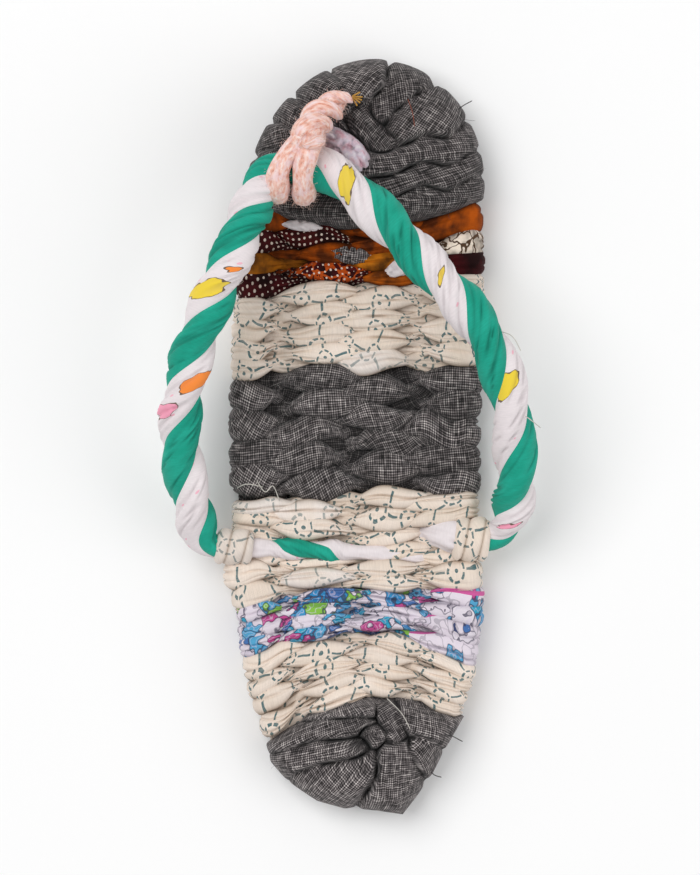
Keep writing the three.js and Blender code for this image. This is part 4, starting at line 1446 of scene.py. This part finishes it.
leg = rope_ply("toe_tie_leg", leg_line, "pink_cord", TIE_LEG_RADIUS, creases=0.2, upward=(1, 0, 0))
for part in tie_parts + [leg]:
    dress(part, "pink_cord", "toe_tie")

# Fibres stand out of the tie, and frayed thread ends out of the gathered cloth
FUZZY = [
    # pieces, what grows, how many to the square metre, length, spread, from what height, cloth, slot
    (tie_parts, "fibres", 350000, 1.7, 1.4, 0, "peach_fibre", "pink_cord"),
    ((toe, heel), "frays", 5000, 4, 1.6, 6, "dark_thread", "grey_cloth"),
]
for parts, growth, density, length, spread, lowest, cloth_name, slot in FUZZY:
    sizes = {"Length": length * MM, "Thickness": FIBRE_RADIUS * MM, "Lowest": lowest * MM}
    looks = {"Density": float(density), "Spread": spread, "Seed": SEED, "Material": CLOTHS[cloth_name]}
    for part in parts:
        dress(grown(f"{part.name}_{growth}", part.data.copy(), FUZZ, **sizes, **looks), slot)

# Scraps, loose threads and a tuft of straw
for name, radius, end_share, cloth_name, slot, route in SCRAPS:
    bulge = end_share + (1 - end_share) * np.sin(np.linspace(0, math.pi, 40))
    line = smooth_route(route, 40)
    looks = {"girth": bulge, "seed": len(name), "creases": 0.6, "crease_rate": SCRAP_CREASE_RATE}
    dress(rope_ply(name, line, cloth_name, radius, **looks), slot)
for name, route, cloth_name in THREADS:
    dress(rope_ply(name, smooth_route(route, 30), cloth_name, THREAD_RADIUS, creases=0), "grey_cloth")
for number, end in enumerate(STRAW_ENDS):
    blade = np.linspace(STRAW_TIP, end, 12)
    dress(rope_ply(f"straw_{number}", blade, "straw", STRAW_RADIUS, creases=0), "pink_cord")

# Floor, light and camera
FLOOR_SIZE = 6
PAPER_CLOUDS = 0.15  # metres
floor_material, floor_tree, _ = new_material("matt_white_paper")
grain = add(floor_tree, "TexNoise", {"Scale": FLOOR_SIZE / PAPER_CLOUDS})
paper = add(floor_tree, "Mix RGBA", [grain, "#F6F6F6", "#F9F9F9"])
paper_shader = add(floor_tree, "BsdfPrincipled", {"Base Color": paper, "Roughness": 0.9})
add(floor_tree, "OutputMaterial", [paper_shader])
bpy.ops.mesh.primitive_plane_add(size=FLOOR_SIZE, location=(0, 0, 0))
floor = bpy.context.object
floor.name = "floor"
floor.data.materials.append(floor_material)

world = bpy.data.worlds.new("soft_room")
bpy.context.scene.world = world
world.use_nodes = True
world.node_tree.nodes["Background"].inputs["Color"].default_value = (1, 1, 1, 1)
world.node_tree.nodes["Background"].inputs["Strength"].default_value = 0.48
bpy.context.scene.view_settings.view_transform = "Standard"

LIGHTS = [
    # name, place in metres, size in metres, power in watts
    ("window", (-1.55, 1.1, 3), 2.5, 72),
    ("fill", (2.2, -0.6, 1.8), 2.4, 27),
]
for name, place, size, power in LIGHTS:
    light = bpy.data.lights.new(name, "AREA")
    light.size = size
    light.energy = power
    lamp = placed(name, light)
    lamp.location = place
    lamp.rotation_euler = (Vector((0, 0, 0.02)) - Vector(place)).to_track_quat("-Z", "Y").to_euler()

CAMERA_HEIGHT = 1.7
FRAME_HEIGHT = 0.292  # metres of floor from the picture's top to its bottom
SENSOR_HEIGHT = 24
camera_data = bpy.data.cameras.new("camera")
camera_data.sensor_fit = "VERTICAL"
camera_data.sensor_height = SENSOR_HEIGHT
camera_data.lens = SENSOR_HEIGHT * CAMERA_HEIGHT / FRAME_HEIGHT
camera = placed("camera", camera_data)
camera.location = (-0.002, 0, CAMERA_HEIGHT)
bpy.context.scene.camera = camera
